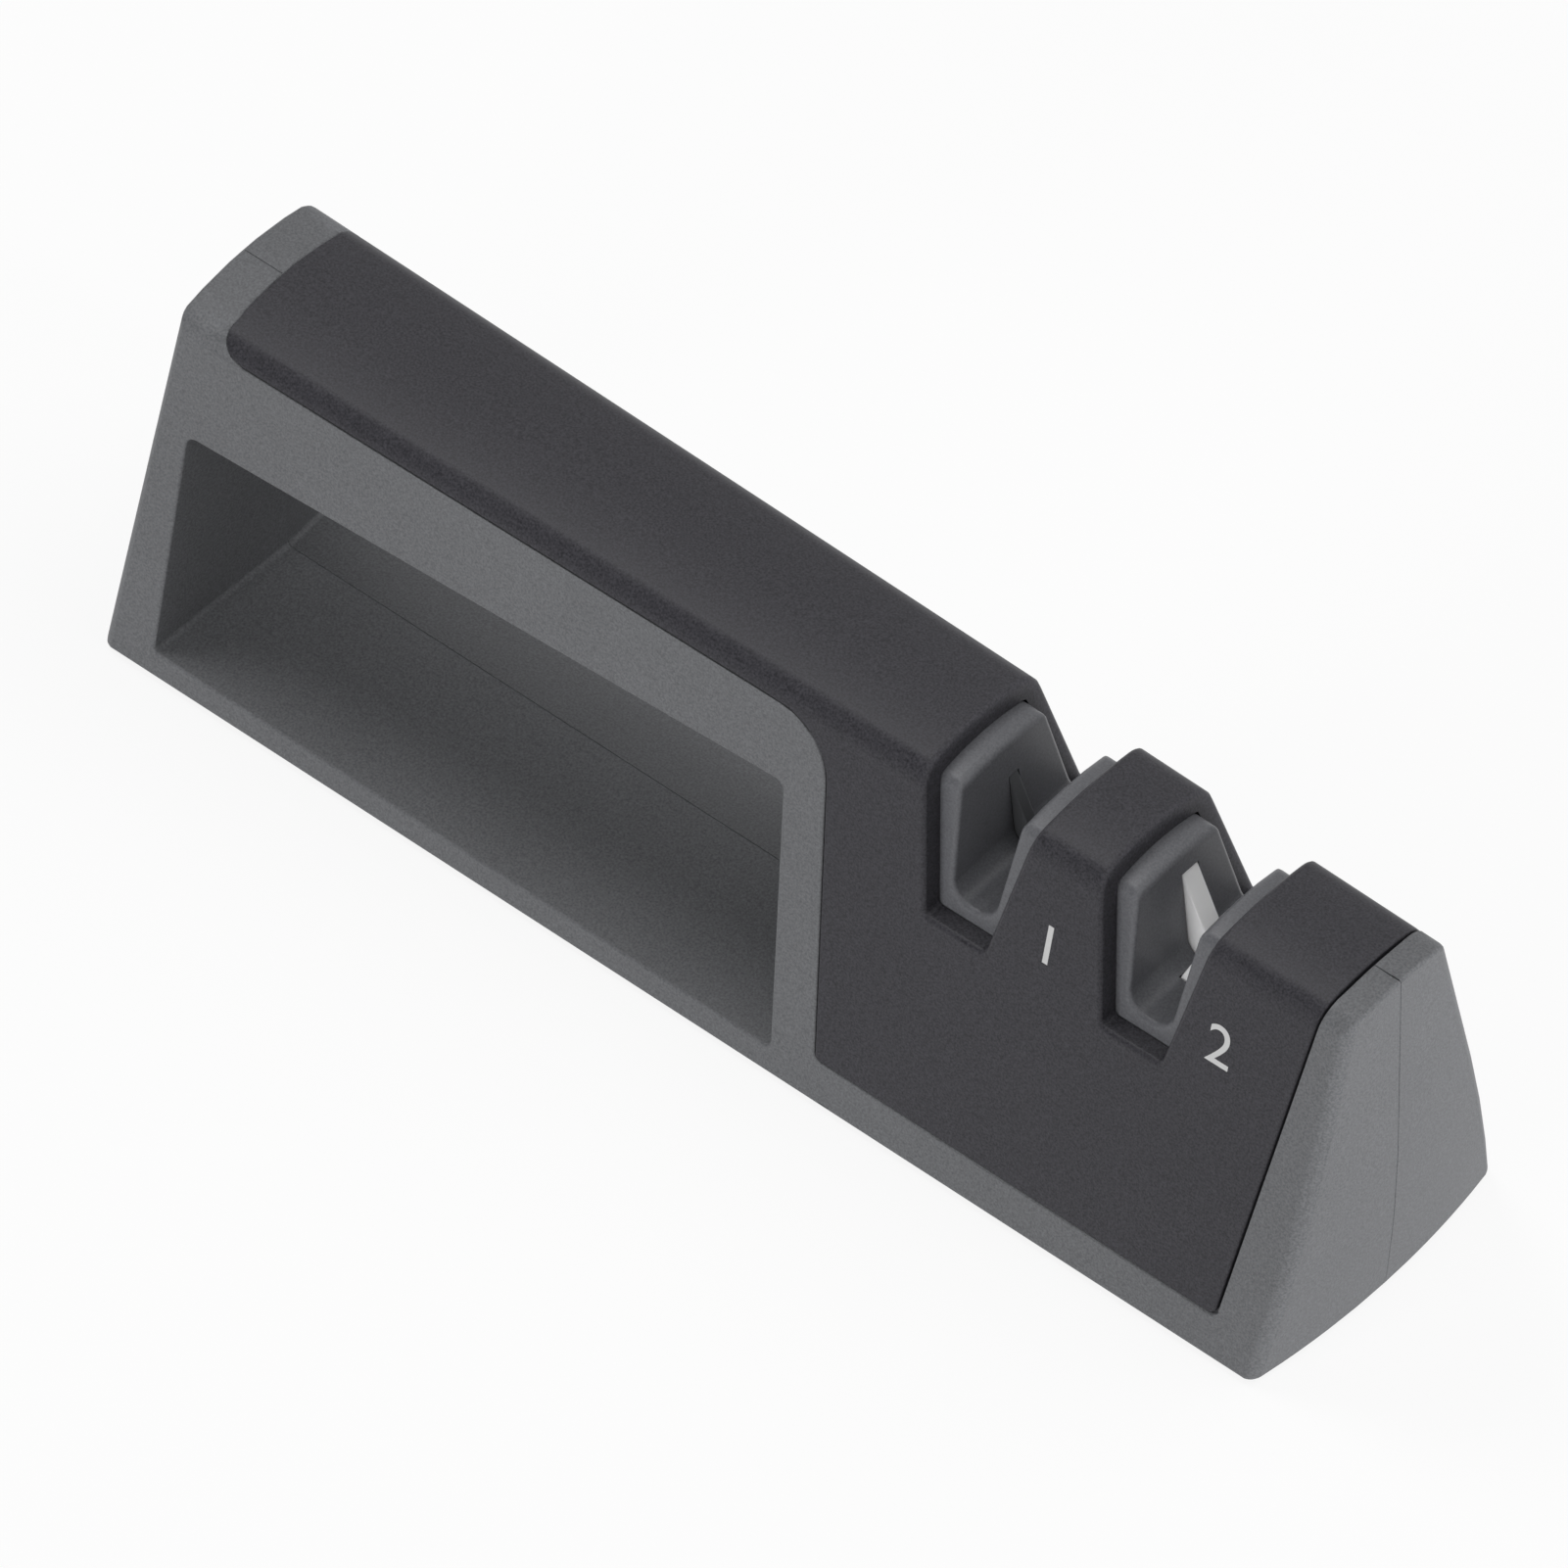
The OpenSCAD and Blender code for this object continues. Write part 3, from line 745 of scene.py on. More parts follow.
@dataclass
class FormLoft:
    """The body's long faces as a clean solid with even rows, taken in by some mm.

    The rows on each side follow the heights given, the rest are spread over the shoulder and
    the crown. The ends are square and stand past the body's own.
    """

    stations: tuple[float, ...]
    heights: tuple[float, ...]
    inside: float = 0.0
    past: float = 4.0
    low_rows: int = 2
    high_rows: int = 3
    crown_rows: int = 5

    def point(self, x: float, row: float) -> tuple[float, float]:
        """Half-width and height of one row at x.

        Args:
            x: place along the body.
            row: 0 at the lowest height, 1 for each height, then 1 for each row further up.

        Returns:
            The y and z of the row.
        """
        centre, radius, first, last = FORM.shoulder_arc(x, self.inside)
        step = round(row)
        edge = len(self.heights) - 1
        middle = (first + last) / 2
        z_middle = centre.y + radius * math.sin(middle)
        if step <= edge + self.low_rows:
            z = self.heights[min(step, edge)]
            if step > edge:
                z += (z_middle - z) * (step - edge) / self.low_rows
            if z <= centre.y + radius * math.sin(first):
                return FORM.face_y(x, z, self.inside), z
            return centre.x + math.sqrt(max(radius**2 - (z - centre.y) ** 2, 0.0)), z
        step -= edge + self.low_rows
        if step <= self.high_rows:
            angle = middle + (last - middle) * step / self.high_rows
            return centre.x + radius * math.cos(angle), centre.y + radius * math.sin(angle)
        y = (centre.x + radius * math.cos(last)) * (1 - (step - self.high_rows) / self.crown_rows)
        return y, FORM.crown_z(x, y, self.inside)

    def build(self, name: str) -> bpy.types.Object:
        """Models the solid from a block, cut into rows and stations and then shaped.

        Args:
            name: the new object's name.

        Returns:
            The solid.
        """
        solid = add_block(name)
        edge = len(self.heights) - 1 + self.low_rows
        over = self.high_rows + self.crown_rows
        reach = FORM.length / 2 + self.past
        cut_grid(solid, Axis.X, [x / reach for x in self.stations])
        cut_grid(solid, Axis.Z, [2 * i / edge - 1 for i in range(1, edge)])
        cut_grid(solid, Axis.Y, [i / over for i in range(1 - over, over)])
        for v in solid.data.vertices:
            x = v.co.x * reach
            row = edge * (v.co.z + 1) / 2
            if row > edge - 0.5:
                row = edge + over * (1 - abs(v.co.y))
            y, z = self.point(x, row)
            share = 1.0 if row > 0.5 else abs(v.co.y)
            v.co = Vector((x, math.copysign(y * share, v.co.y), z)) * MM
        return solid


@dataclass
class RoundedBlank:
    """The whole outer form as one clean solid with rounded corners.

    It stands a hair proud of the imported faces, so that cutting a shell to it trims the shell's
    sharp corners and leaves its faces alone.
    """

    stations: tuple[float, ...] = (-83.0, -50.0, -15.0, 20.0, 52.0, 83.0)
    columns: tuple[float, ...] = (-0.6, -0.2, 0.2, 0.6)
    end_columns: int = 18
    tuck_rows: int = 6
    high_row: float = 45.0
    top_zone: float = 50.0
    end_corner_r: float = 1.9
    end_top_r: float = 0.6
    foot_r: float = 0.9
    proud: float = 0.03
    end_zone: float = 3.2

    def build(self) -> bpy.types.Object:
        """Models the blank.

        Returns:
            The blank, still without a material.
        """
        blank = add_block("rounded_blank")
        half = FORM.length / 2
        cut_grid(blank, Axis.X, [x / half for x in self.stations])
        cut_grid(blank, Axis.Y, list(self.columns))
        for v in blank.data.vertices:
            x = v.co.x * half
            wide, top = FORM.brow(x)
            if v.co.z > 0:
                y = v.co.y * wide
                v.co = Vector((x, y, top if abs(v.co.y) > OUTERMOST else FORM.crown_z(x, y))) * MM
            else:
                v.co = Vector((x, v.co.y * FORM.base_w / 2, FORM.foot_z)) * MM
        round_edges(blank, self.edge_radius, segments=6)
        self.curve_ends(blank)
        swell(blank, self.proud)
        return blank

    def edge_radius(self, a: Vector, b: Vector, angle: float) -> float:
        """Bevel width of one edge of the straight-ended blank.

        Args:
            a: one end of the edge, in mm.
            b: its other end.
            angle: how far the surface turns over it, in degrees.

        Returns:
            The width in mm, or 0 where the edge is inside a face.
        """
        if angle < EDGE_TURN:
            return 0.0
        half = FORM.length / 2
        if max(a.z, b.z) < FORM.foot_z + TOUCH:
            return self.foot_r
        if abs(abs(a.x) - half) < TOUCH and abs(a.x - b.x) < TOUCH:
            return self.end_top_r if min(a.z, b.z) > self.top_zone else self.end_corner_r
        x = (a.x + b.x) / 2
        return FORM.shoulder_r * math.tan(FORM.brow_turn(x) / 2)

    def curve_ends(self, blank: bpy.types.Object) -> None:
        """Gives the straight ends their bow, lean and tuck.

        Args:
            blank: the rounded blank with flat ends.
        """
        half = FORM.length / 2
        rows = [FORM.stage_tuck_h * i / self.tuck_rows for i in range(1, self.tuck_rows + 1)]
        for i in range(1, self.end_columns):
            y = FORM.base_w * (i / self.end_columns - 0.5)
            self.cut_near_ends(blank, Vector((0, y, 0)), Vector((0, 1, 0)))
        for h in [*rows, self.high_row]:
            self.cut_near_ends(blank, Vector((0, 0, FORM.foot_z + h)), Vector((0, 0, 1)))
        for v in blank.data.vertices:
            p = v.co / MM
            if abs(p.x) < half - self.end_zone:
                continue
            end = Surface.STAGE_END if p.x > 0 else Surface.HANDLE_END
            v.co.x += (FORM.end_x(end, p.y, p.z) - math.copysign(half, p.x)) * MM

    def cut_near_ends(self, blank: bpy.types.Object, point: Vector, normal: Vector) -> None:
        """Cuts the faces near both ends by one plane.

        Args:
            blank: the blank.
            point: a point on the plane, in mm.
            normal: the plane's normal.
        """
        near = (FORM.length / 2 - self.end_zone) * MM
        with editing(blank):
            bpy.ops.mesh.select_all(action="DESELECT")
            mesh = bmesh.from_edit_mesh(blank.data)
            for face in mesh.faces:
                face.select = min(abs(v.co.x) for v in face.verts) > near
            bmesh.update_edit_mesh(blank.data)
            bpy.ops.mesh.bisect(plane_co=point * MM, plane_no=normal)


@dataclass
class BodyShell:
    """One moulded half of the body, with its edges rounded as the tool leaves them."""

    half: Half
    blank: bpy.types.Object
    rim_r: float = 0.3
    gap_r: float = 0.25
    end_gap_r: float = 0.35
    end_gap_x: float = 84.0
    seam_r: float = 0.17
    rim_reach_x: float = 14.8
    rim_reach_z: float = 47.0
    seam_low_z: float = 2.0
    opening_x: tuple[float, float] = (-85.1, 11.1)
    opening_z: tuple[float, float] = (7.3, 41.8)
    opening_lean: tuple[float, float] = (-0.6, -3.6)
    opening_slack: float = 0.05

    def edge_radius(self, a: Vector, b: Vector, angle: float) -> float:
        """Radius of one edge of the shell.

        Args:
            a: one end of the edge, in mm.
            b: its other end.
            angle: how far the two faces turn over the edge, in degrees.

        Returns:
            The radius in mm, or 0 where the edge stays as it is.
        """
        if angle < EDGE_TURN:
            return 0.0
        shared = FORM.surfaces(a) & FORM.surfaces(b)
        ends = {Surface.HANDLE_END, Surface.STAGE_END, Surface.BASE}
        if max(abs(a.y), abs(b.y)) < FLUSH:
            shown = bool(shared) or self.in_opening(a) and self.in_opening(b)
            return self.seam_r if shown and max(a.z, b.z) > self.seam_low_z else 0.0
        if Surface.LONG not in shared or shared & ends:
            return 0.0
        if max(a.x, b.x) < self.rim_reach_x and max(a.z, b.z) < self.rim_reach_z:
            return self.rim_r
        if FORM.in_brow(a) or FORM.in_brow(b):
            return 0.0
        return self.end_gap_r if min(a.x, b.x) > self.end_gap_x else self.gap_r

    def in_opening(self, p: Vector) -> bool:
        """Whether the hand opening lays a point of the mid-plane bare.

        Args:
            p: the point, in mm.

        Returns:
            True on the opening's outline and inside it.
        """
        floor, roof = self.opening_z
        up = (p.z - floor) / (roof - floor)
        low, high = (x + lean * up for x, lean in zip(self.opening_x, self.opening_lean))
        slack = self.opening_slack
        return floor - slack < p.z < roof + slack and low - slack < p.x < high + slack

    def build(self) -> bpy.types.Object:
        """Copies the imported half, cuts its corners to the rounded blank and rounds its cut edges.

        Returns:
            The finished skin.
        """
        node = self.half.word + "_shell"
        skin = solid_copy(node, node + "_skin", within=self.blank)
        round_edges(skin, self.edge_radius, segments=3)
        smooth(skin)
        return skin

    def dress(self) -> None:
        """Builds the half and gives it the body's plastic."""
        settle(self.build(), "body", BODY_GREY.material(), self.half.word + "_shell")


@dataclass(frozen=True)
class Channel:
    """The form of a channel cut down into the top, in mm: a level floor and walls that open upwards."""

    floor_w: float
    floor_z: float
    top_z: float
    wall_lean: float
    corner_r: float
    corner_steps: int
    reach: float

    def build(self, x: float) -> bpy.types.Object:
        """Models what the channel takes away.

        Args:
            x: the channel's middle along the body.

        Returns:
            The solid to cut with.
        """
        cutter = add_block("channel")
        spread = (self.top_z - self.floor_z) * math.tan(math.radians(self.wall_lean))
        for v in cutter.data.vertices:
            top = v.co.z > 0
            half = self.floor_w / 2 + (spread if top else 0.0)
            z = self.top_z if top else self.floor_z
            v.co = Vector((x + math.copysign(half, v.co.x), v.co.y * self.reach, z)) * MM
        width = self.corner_r * math.tan(math.radians(90 - self.wall_lean) / 2)
        floor = self.floor_z + TOUCH
        round_edges(
            cutter,
            lambda a, b, _: width if max(a.z, b.z) < floor and abs(a.x - b.x) < TOUCH else 0.0,
            segments=self.corner_steps,
        )
        return cutter


@dataclass
class TopCover:
    """The black saddle over the body, with a printed numeral beside each notch.

    Seen from the front, its lower edge runs level from handle_x to sweep_x, down to skirt_x, and
    level again to low_end_x. From there its end rises to top_end_x.
    """

    wall: float = 2.8
    low_z: float = 7.1
    handle_z: float = 54.9
    ceiling_z: float = 63.6
    handle_x: float = -85.6
    sweep_x: float = 14.3
    skirt_x: float = 21.1
    low_end_x: float = 86.22
    top_end_x: float = 93.25
    corner_r: tuple[float, ...] = (5.0, 8.8, 1.0, 1.0)
    corner_steps: int = 8
    widest_corner: float = 8.0
    half_reach: float = 30.0
    stations: tuple[float, ...] = (-76.0, -55.0, -34.0, -13.0, 3.0, 25.5, 38.0, 52.2, 66.4, 80.0)
    heights: tuple[float, ...] = (-2.0, 20.0, 36.0, 47.0, 53.0, 54.9)
    inner_heights: tuple[float, ...] = (-4.0, 25.0, 50.0)
    edge_r: float = 0.25
    corner_edge_r: float = 0.12
    end_edge_r: float = 0.35
    end_from_x: float = 85.0
    notch: Channel = Channel(9.6, 37.3, 63.6, 10.6, corner_r=0.8, corner_steps=5, reach=30.0)
    notch_r: float = 0.65
    notch_reach: float = 10.5
    tab_w: float = 6.0
    tab_z: tuple[float, float] = (9.7, 12.3)
    tab_inside: tuple[float, float] = (2.0, 4.85)
    numeral_h: float = 6.0
    numeral_share: float = 0.7
    numeral_lift: float = 0.03
    numeral_at: tuple[tuple[float, float], ...] = ((51.85, 44.2), (79.2, 45.1))

    def edge_radius(self, a: Vector, b: Vector, angle: float) -> float:
        """Radius of one edge of the cover.

        Args:
            a: one end of the edge, in mm.
            b: its other end.
            angle: how far the two faces turn over the edge, in degrees.

        Returns:
            The radius in mm, or 0 where the edge stays as it is.
        """
        if angle < EDGE_TURN or max(FORM.depth(a), FORM.depth(b)) > FORM.reach:
            return 0.0
        middle = (a + b) / 2
        if middle.x < self.handle_x + self.corner_r[0]:
            return self.corner_edge_r
        if middle.x > self.end_from_x:
            return self.end_edge_r
        beside_notch = any(abs(middle.x - x) < self.notch_reach for x in STAGE_X.values())
        at_notch = beside_notch and middle.z > self.notch.floor_z - SLACK
        return self.notch_r if at_notch else self.edge_r

    def build_outline(self) -> bpy.types.Object:
        """Models the cover's outline, seen from the front, as a solid across the whole width.

        Returns:
            The solid.
        """
        outline = add_block("cover_outline")
        sweep_cut, skirt_cut = -0.4, 0.2
        cut_grid(outline, Axis.X, [sweep_cut, skirt_cut])
        below = {
            -1.0: (self.handle_x, self.handle_z),
            sweep_cut: (self.sweep_x, self.handle_z),
            skirt_cut: (self.skirt_x, self.low_z),
            1.0: (self.low_end_x, self.low_z),
        }
        for v in outline.data.vertices:
            x, z = below[round(v.co.x, 1)]
            if v.co.z > 0:
                z = self.ceiling_z
                x = self.top_end_x if v.co.x > OUTERMOST else x
            v.co = Vector((x, v.co.y * self.half_reach, z)) * MM
        corner_x = (self.handle_x, self.sweep_x, self.skirt_x, self.low_end_x)
        corners = list(zip(corner_x, self.corner_r))

        def corner_width(a: Vector, b: Vector, angle: float) -> float:
            """Width of the bevel that gives one corner of the outline its radius.

            Args:
                a: one end of the corner's edge, in mm.
                b: its other end.
                angle: how far the outline turns there, in degrees.

            Returns:
                The width in mm, or 0 for an edge that isn't a lower corner.
            """
            level = abs(a.x - b.x) < FLUSH and abs(a.z - b.z) < FLUSH
            if not level or max(a.z, b.z) > self.handle_z + TOUCH:
                return 0.0
            radius = min(corners, key=lambda corner: abs(corner[0] - a.x))[1]
            return radius * math.tan(math.radians(angle) / 2)

        round_edges(outline, corner_width, self.corner_steps, largest=self.widest_corner)
        return outline

    def build_tab(self, x: float, half: Half) -> bpy.types.Object:
        """Models one snap tab inside the cover's wall.

        Args:
            x: the tab's middle.
            half: which side of the cover it is on.

        Returns:
            The tab, rooted in the wall.
        """
        tab = add_block("snap_tab")
        for v in tab.data.vertices:
            px = x + v.co.x * self.tab_w / 2
            pz = self.tab_z[v.co.z > 0]
            inside = self.tab_inside[v.co.y * half.value < 0]
            v.co = Vector((px, half.value * FORM.face_y(px, pz, inside), pz)) * MM
        return tab

    def build_skin(self) -> bpy.types.Object:
        """Models the cover: a wall of the outer form, cut to its outline, with notches and tabs.

        Returns:
            The finished skin.
        """
        skin = FormLoft(self.stations, self.heights).build("top_cover_skin")
        combine(skin, Solids.CROSS, self.build_outline())
        inner = FormLoft(self.stations, self.inner_heights, inside=self.wall, past=6.0)
        combine(skin, Solids.CUT, inner.build("cover_hollow"))
        for x in STAGE_X.values():
            combine(skin, Solids.CUT, self.notch.build(x))
            for half in Half:
                combine(skin, Solids.JOIN, self.build_tab(x, half))
        tidy_faces(skin, flat=0.2)
        round_edges(skin, self.edge_radius, segments=3)
        smooth(skin)
        return skin

    def build_numeral(self, numeral: str, x: float, z: float) -> bpy.types.Object:
        """Prints one numeral on the cover's front face.

        Args:
            numeral: what it says.
            x: its middle along the cover, in mm.
            z: its middle above the floor.

        Returns:
            The print as a thin mesh that lies on the face.
        """
        data = bpy.data.curves.new("numeral_" + numeral, "FONT")
        data.body = numeral
        data.size = self.numeral_h / self.numeral_share
        data.align_x = "CENTER"
        data.align_y = "CENTER"
        piece = bpy.data.objects.new("numeral_" + numeral, data)
        bpy.context.scene.collection.objects.link(piece)
        make_active(piece)
        bpy.ops.object.convert(target="MESH")
        piece = bpy.context.object
        low = min(v.co.y for v in piece.data.vertices)
        high = max(v.co.y for v in piece.data.vertices)
        left = min(v.co.x for v in piece.data.vertices)
        right = max(v.co.x for v in piece.data.vertices)
        for v in piece.data.vertices:
            px = x + v.co.x - (left + right) / 2
            pz = z + v.co.y - (low + high) / 2
            v.co = Vector((px, -FORM.face_y(px, pz, -self.numeral_lift), pz)) * MM
        return piece

    def dress(self) -> None:
        """Builds the cover and its numerals and gives them their finishes."""
        settle(self.build_skin(), "cover", COVER_BLACK.material(), "top_cover")
        ink = MARK_WHITE.material()
        for numeral, (x, z) in zip("12", self.numeral_at):
            settle(self.build_numeral(numeral, x, z), "cover", ink)


@dataclass
class SharpeningStage:
    """One stage: the slotted guide, its two crossed plates and what grips them."""

    grit: Grit
    plate_finish: Finish
    guide_w: float = 23.6
    end_slack: float = 0.2
    under_cover: float = 2.95
    base_z: float = 33.5
    slot: Channel = Channel(6.5, 39.1, 63.1, 5.6, corner_r=2.7, corner_steps=8, reach=40.0)
    slot_slack: float = 0.5
    lip_r: float = 1.2
    side_lip_r: float = 0.65
    brow_r: float = 1.25
    columns: tuple[float, ...] = (-0.5, 0.0, 0.5)
    pocket_gap: float = 0.15
    plate_r: float = 0.2

    @property
    def middle_x(self) -> float:
        """The stage's middle along the body, in mm."""
        return STAGE_X[self.grit]

    def plate_node(self, half: Half) -> str:
        """The name of the front or rear plate's node."""
        return self.grit.value + "_plate_" + half.word

    def build_saddle(self) -> bpy.types.Object:
        """Models the guide's block with its crowned top.

        Returns:
            The block before its slot is cut.
        """
        saddle = add_block(self.grit.value + "_guide_skin")
        cut_grid(saddle, Axis.Y, list(self.columns))
        for v in saddle.data.vertices:
            x = self.middle_x + v.co.x * self.guide_w / 2
            wide, top = FORM.brow(x, self.under_cover)
            if v.co.z > 0:
                y = v.co.y * wide
                z = top if abs(v.co.y) > OUTERMOST else FORM.crown_z(x, y, self.under_cover)
            else:
                y = v.co.y * FORM.face_y(x, self.base_z, self.under_cover)
                z = self.base_z
            v.co = Vector((x, y, z)) * MM
        return saddle

    def edge_radius(self, a: Vector, b: Vector, angle: float) -> float:
        """Radius of one edge of the slotted guide.

        Args:
            a: one end of the edge, in mm.
            b: its other end.
            angle: how far the two faces turn over the edge, in degrees.

        Returns:
            The radius in mm, or 0 where the edge stays as it is.
        """
        if angle < EDGE_TURN or min(a.z, b.z) < self.slot.floor_z - self.slot_slack:
            return 0.0
        end = self.guide_w / 2 - self.end_slack
        near, far = sorted(abs(p.x - self.middle_x) for p in (a, b))
        if near > end:
            return 0.0
        if far >= end:
            return self.brow_r
        brow = FORM.brow(self.middle_x, self.under_cover)[1]
        return self.lip_r if min(a.z, b.z) > brow - SLACK else self.side_lip_r

    def build_guide(self) -> bpy.types.Object:
        """Models the slotted guide with rounded lips and a pocket for each plate.

        Returns:
            The finished guide.
        """
        guide = self.build_saddle()
        combine(guide, Solids.CUT, self.slot.build(self.middle_x))
        round_edges(guide, self.edge_radius, segments=5)
        for half in Half:
            pocket = solid_copy(self.plate_node(half), "pocket")
            swell(pocket, self.pocket_gap, even=True)
            combine(guide, Solids.CUT, pocket)
        smooth(guide)
        return guide

    def build_plate(self, half: Half) -> bpy.types.Object:
        """Copies one packed plate and breaks its edges.

        Args:
            half: the front or the rear plate.

        Returns:
            The finished plate.
        """
        node = self.plate_node(half)
        plate = solid_copy(node, node + "_skin")
        apply_modifier(plate, "BEVEL", width=self.plate_r * MM, segments=3, limit_method="ANGLE")
        smooth(plate)
        return plate

    def dress(self) -> None:
        """Builds the stage and gives its pieces their finishes."""
        grit = self.grit.value
        settle(self.build_guide(), "guide", GUIDE_GREY.material(), grit + "_guide")
        finish = self.plate_finish.material()
        for half in Half:
            settle(self.build_plate(half), grit + "_plate", finish, self.plate_node(half))
        inner = INNER_GREY.material()
        for part in ("_holder", "_clamp"):
            dress_node(grit + part, inner)
        dress_node(grit + "_clamp_screws", SCREW_STEEL.material())


@dataclass
class Underside:
    """The base plate, its screws and the non-slip foot pad."""

    pad_edge_r: float = 0.3
    pad_edge_turn: float = 50.0

    def dress(self) -> None:
        """Builds the pieces under the body and gives them their finishes."""
        dress_node("base_plate", BASE_BLACK.material())
        pad = solid_copy("foot_pad", "foot_pad_skin")
        apply_modifier(
            pad,
            "BEVEL",
            width=self.pad_edge_r * MM,
            segments=3,
            limit_method="ANGLE",
            angle_limit=math.radians(self.pad_edge_turn),
        )
        smooth(pad)
        settle(pad, "pad", PAD_RUBBER.material(), "foot_pad")
        screws = solid_copy("base_screws", "base_screws_skin")
        smooth(screws)
        settle(screws, "steel", SCREW_STEEL.material(), "base_screws")


@dataclass
class InnerParts:
    """What the body hides: the stage frame, the dowels and the shell screws."""

    def dress(self) -> None:
        """Gives the hidden parts their finishes."""
        dress_node("stage_frame", INNER_GREY.material())
        for node in ("shell_dowels", "shell_screws"):
            dress_node(node, SCREW_STEEL.material())


@dataclass(frozen=True)
class Lamp:
    """One soft square lamp: where it hangs and its side in metres, and its power in watts."""

    name: str
    place: tuple[float, float, float]
    side: float
    power: float
    in_gloss: bool = False
    aim: tuple[float, float, float] = (0.0, 0.0, 0.03)

    def hang(self) -> None:
        """Hangs the lamp and turns it to the sharpener."""
        data = bpy.data.lights.new(self.name, "AREA")
        data.size = self.side
        data.energy = self.power
        lamp = bpy.data.objects.new(self.name, data)
        bpy.context.scene.collection.objects.link(lamp)
        lamp.location = self.place
        lamp.visible_glossy = self.in_gloss
        toward = Vector(self.aim) - Vector(self.place)
        lamp.rotation_euler = toward.to_track_quat("-Z", "Y").to_euler()


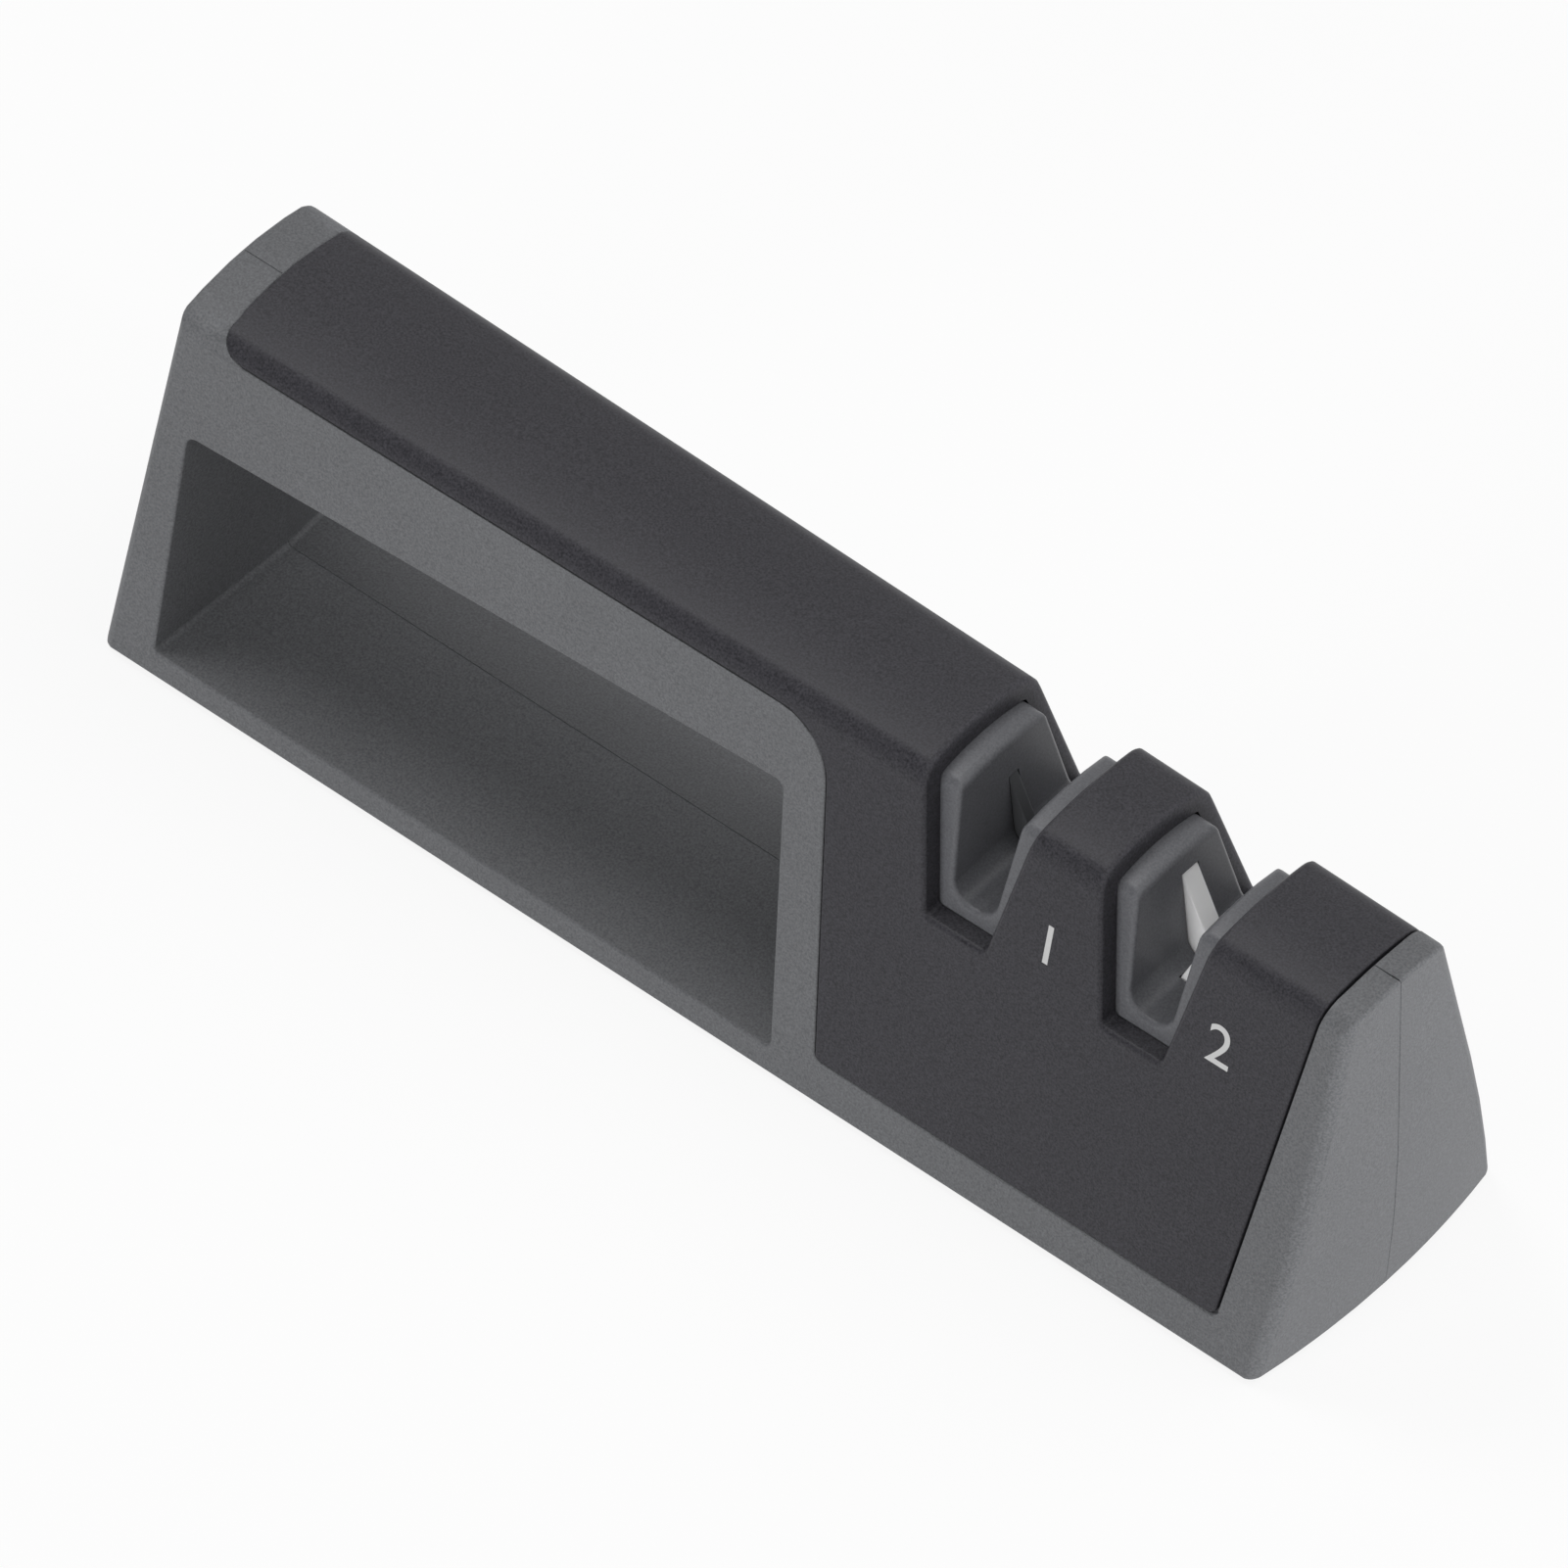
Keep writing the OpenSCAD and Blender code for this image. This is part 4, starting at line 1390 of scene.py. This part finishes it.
@dataclass
class Studio:
    """Pale floor, soft lamps and the photograph's viewpoint."""

    back: tuple[float, float, float] = (0.4273, -0.5012, 0.7524)
    right: tuple[float, float, float] = (0.7610, 0.6488, 0.0)
    aim: tuple[float, float, float] = (0.19, -3.48, 27.55)
    distance: float = 5.4
    lens: float = 990.9
    sensor_w: float = 36.0
    nearest: float = 0.1
    sky: float = 0.265
    floor_half: float = 6.0
    floor_drop: float = 0.05
    floor_grey: float = 0.6
    floor_glow: float = 0.88
    card_toward: tuple[float, float, float] = (-0.43, -0.72, 0.55)
    card_distance: float = 3.0
    card_side: float = 3.2
    card_grey: float = 0.03
    card_rough: float = 0.9
    lamps: tuple[Lamp, ...] = (
        Lamp("top_lamp", (-0.77, 0.08, 1.61), 0.6, 7.2, in_gloss=True),
        Lamp("rear_lamp", (0.6, 0.7, 1.45), 1.2, 9.3),
        Lamp("stage_end_lamp", (1.6, 0.1, 0.12), 0.2, 15.8),
        Lamp("front_lamp", (-0.15, -1.75, 0.27), 0.9, 21.8),
    )

    def camera(self) -> None:
        """Sets the camera at the photograph's viewing angle."""
        data = bpy.data.cameras.new("camera")
        data.sensor_fit = "HORIZONTAL"
        data.sensor_width = self.sensor_w
        data.lens = self.lens
        data.clip_start = self.nearest
        camera = bpy.data.objects.new("camera", data)
        bpy.context.scene.collection.objects.link(camera)
        back = Vector(self.back).normalized()
        right = Vector(self.right).normalized()
        up = back.cross(right)
        place = Vector(self.aim) * MM + back * self.distance
        camera.matrix_world = Matrix(
            [[right[i], up[i], back[i], place[i]] for i in range(3)] + [[0, 0, 0, 1]]
        )
        bpy.context.scene.camera = camera

    def seen_directly(self, tree: bpy.types.NodeTree) -> bpy.types.NodeSocket:
        """Adds a test for what the camera sees, also in gloss and through glass.

        Args:
            tree: the material's or the world's tree.

        Returns:
            A value that is 1 for such rays and 0 for the rest.
        """
        path = tree.nodes.new("ShaderNodeLightPath")
        total = None
        for name in ("Is Camera Ray", "Is Glossy Ray", "Is Transmission Ray"):
            if total is None:
                total = path.outputs[name]
                continue
            add = tree.nodes.new("ShaderNodeMath")
            add.operation = "MAXIMUM"
            tree.links.new(total, add.inputs[0])
            tree.links.new(path.outputs[name], add.inputs[1])
            total = add.outputs[0]
        return total

    def world(self) -> None:
        """Makes a white sky that shows white and lights at its own strength."""
        world = bpy.data.worlds.new("studio_sky")
        world.use_nodes = True
        tree = world.node_tree
        sky = tree.nodes["Background"]
        sky.inputs["Color"].default_value = (1, 1, 1, 1)
        sky.inputs["Strength"].default_value = self.sky
        shown = tree.nodes.new("ShaderNodeBackground")
        shown.inputs["Color"].default_value = (1, 1, 1, 1)
        shown.inputs["Strength"].default_value = 1.0
        mix = tree.nodes.new("ShaderNodeMixShader")
        tree.links.new(self.seen_directly(tree), mix.inputs["Fac"])
        tree.links.new(sky.outputs[0], mix.inputs[1])
        tree.links.new(shown.outputs[0], mix.inputs[2])
        tree.links.new(mix.outputs[0], tree.nodes["World Output"].inputs["Surface"])
        bpy.context.scene.world = world

    def matt(self, tree: bpy.types.NodeTree, grey: float) -> bpy.types.Node:
        """Adds a matt surface of one grey to the floor's material.

        Args:
            tree: the material's tree.
            grey: how much light it gives back, from 0 to 1.

        Returns:
            The surface's node.
        """
        node = tree.nodes.new("ShaderNodeBsdfDiffuse")
        node.inputs["Color"].default_value = (grey, grey, grey, 1)
        return node

    def floor(self) -> None:
        """Lays a wide white floor that keeps a faint shadow."""
        bpy.ops.object.select_all(action="DESELECT")
        bpy.ops.mesh.primitive_plane_add(size=2 * self.floor_half, location=(0, 0, 0))
        floor = bpy.context.object
        floor.name = "studio_floor"
        for v in floor.data.vertices:
            v.co.z -= self.floor_drop * MM
        material = bpy.data.materials.new("studio_white")
        material.use_nodes = True
        tree = material.node_tree
        tree.nodes.remove(tree.nodes["Principled BSDF"])
        matt = self.matt(tree, self.floor_grey)
        white = self.matt(tree, 1.0)
        glow = tree.nodes.new("ShaderNodeEmission")
        glow.inputs["Color"].default_value = (1, 1, 1, 1)
        glow.inputs["Strength"].default_value = 1.0
        shown = tree.nodes.new("ShaderNodeMixShader")
        shown.inputs["Fac"].default_value = self.floor_glow
        tree.links.new(white.outputs[0], shown.inputs[1])
        tree.links.new(glow.outputs[0], shown.inputs[2])
        mix = tree.nodes.new("ShaderNodeMixShader")
        tree.links.new(self.seen_directly(tree), mix.inputs["Fac"])
        tree.links.new(matt.outputs[0], mix.inputs[1])
        tree.links.new(shown.outputs[0], mix.inputs[2])
        tree.links.new(mix.outputs[0], tree.nodes["Material Output"].inputs["Surface"])
        floor.data.materials.append(material)

    def dark_card(self) -> None:
        """Stands a dark card beside the viewpoint, which the glossy shoulders mirror."""
        away = Vector(self.card_toward).normalized()
        bpy.ops.object.select_all(action="DESELECT")
        bpy.ops.mesh.primitive_plane_add(size=self.card_side, location=(0, 0, 0))
        card = bpy.context.object
        card.name = "studio_card"
        facing = away.to_track_quat("Z", "Y").to_matrix().to_4x4()
        card.data.transform(Matrix.Translation(away * self.card_distance) @ facing)
        material = bpy.data.materials.new("studio_dark")
        material.use_nodes = True
        shader = material.node_tree.nodes["Principled BSDF"]
        grey = self.card_grey
        shader.inputs["Base Color"].default_value = (grey, grey, grey, 1)
        shader.inputs["Roughness"].default_value = self.card_rough
        card.data.materials.append(material)
        card.visible_camera = False

    def build(self) -> None:
        """Sets up the studio."""
        self.camera()
        self.world()
        self.floor()
        self.dark_card()
        for lamp in self.lamps:
            lamp.hang()


def main() -> None:
    """Builds every sub-assembly and reports its pieces."""
    logging.basicConfig(level=logging.INFO, format="%(name)s: %(message)s")
    bpy.context.scene.view_settings.view_transform = "Standard"
    Studio().build()
    blank = RoundedBlank().build()
    for half in Half:
        BodyShell(half, blank).dress()
    bpy.data.objects.remove(blank)
    TopCover().dress()
    SharpeningStage(Grit.COARSE, COARSE_DARK).dress()
    SharpeningStage(Grit.FINE, FINE_WHITE).dress()
    Underside().dress()
    InnerParts().dress()


if __name__ == "__main__":
    main()
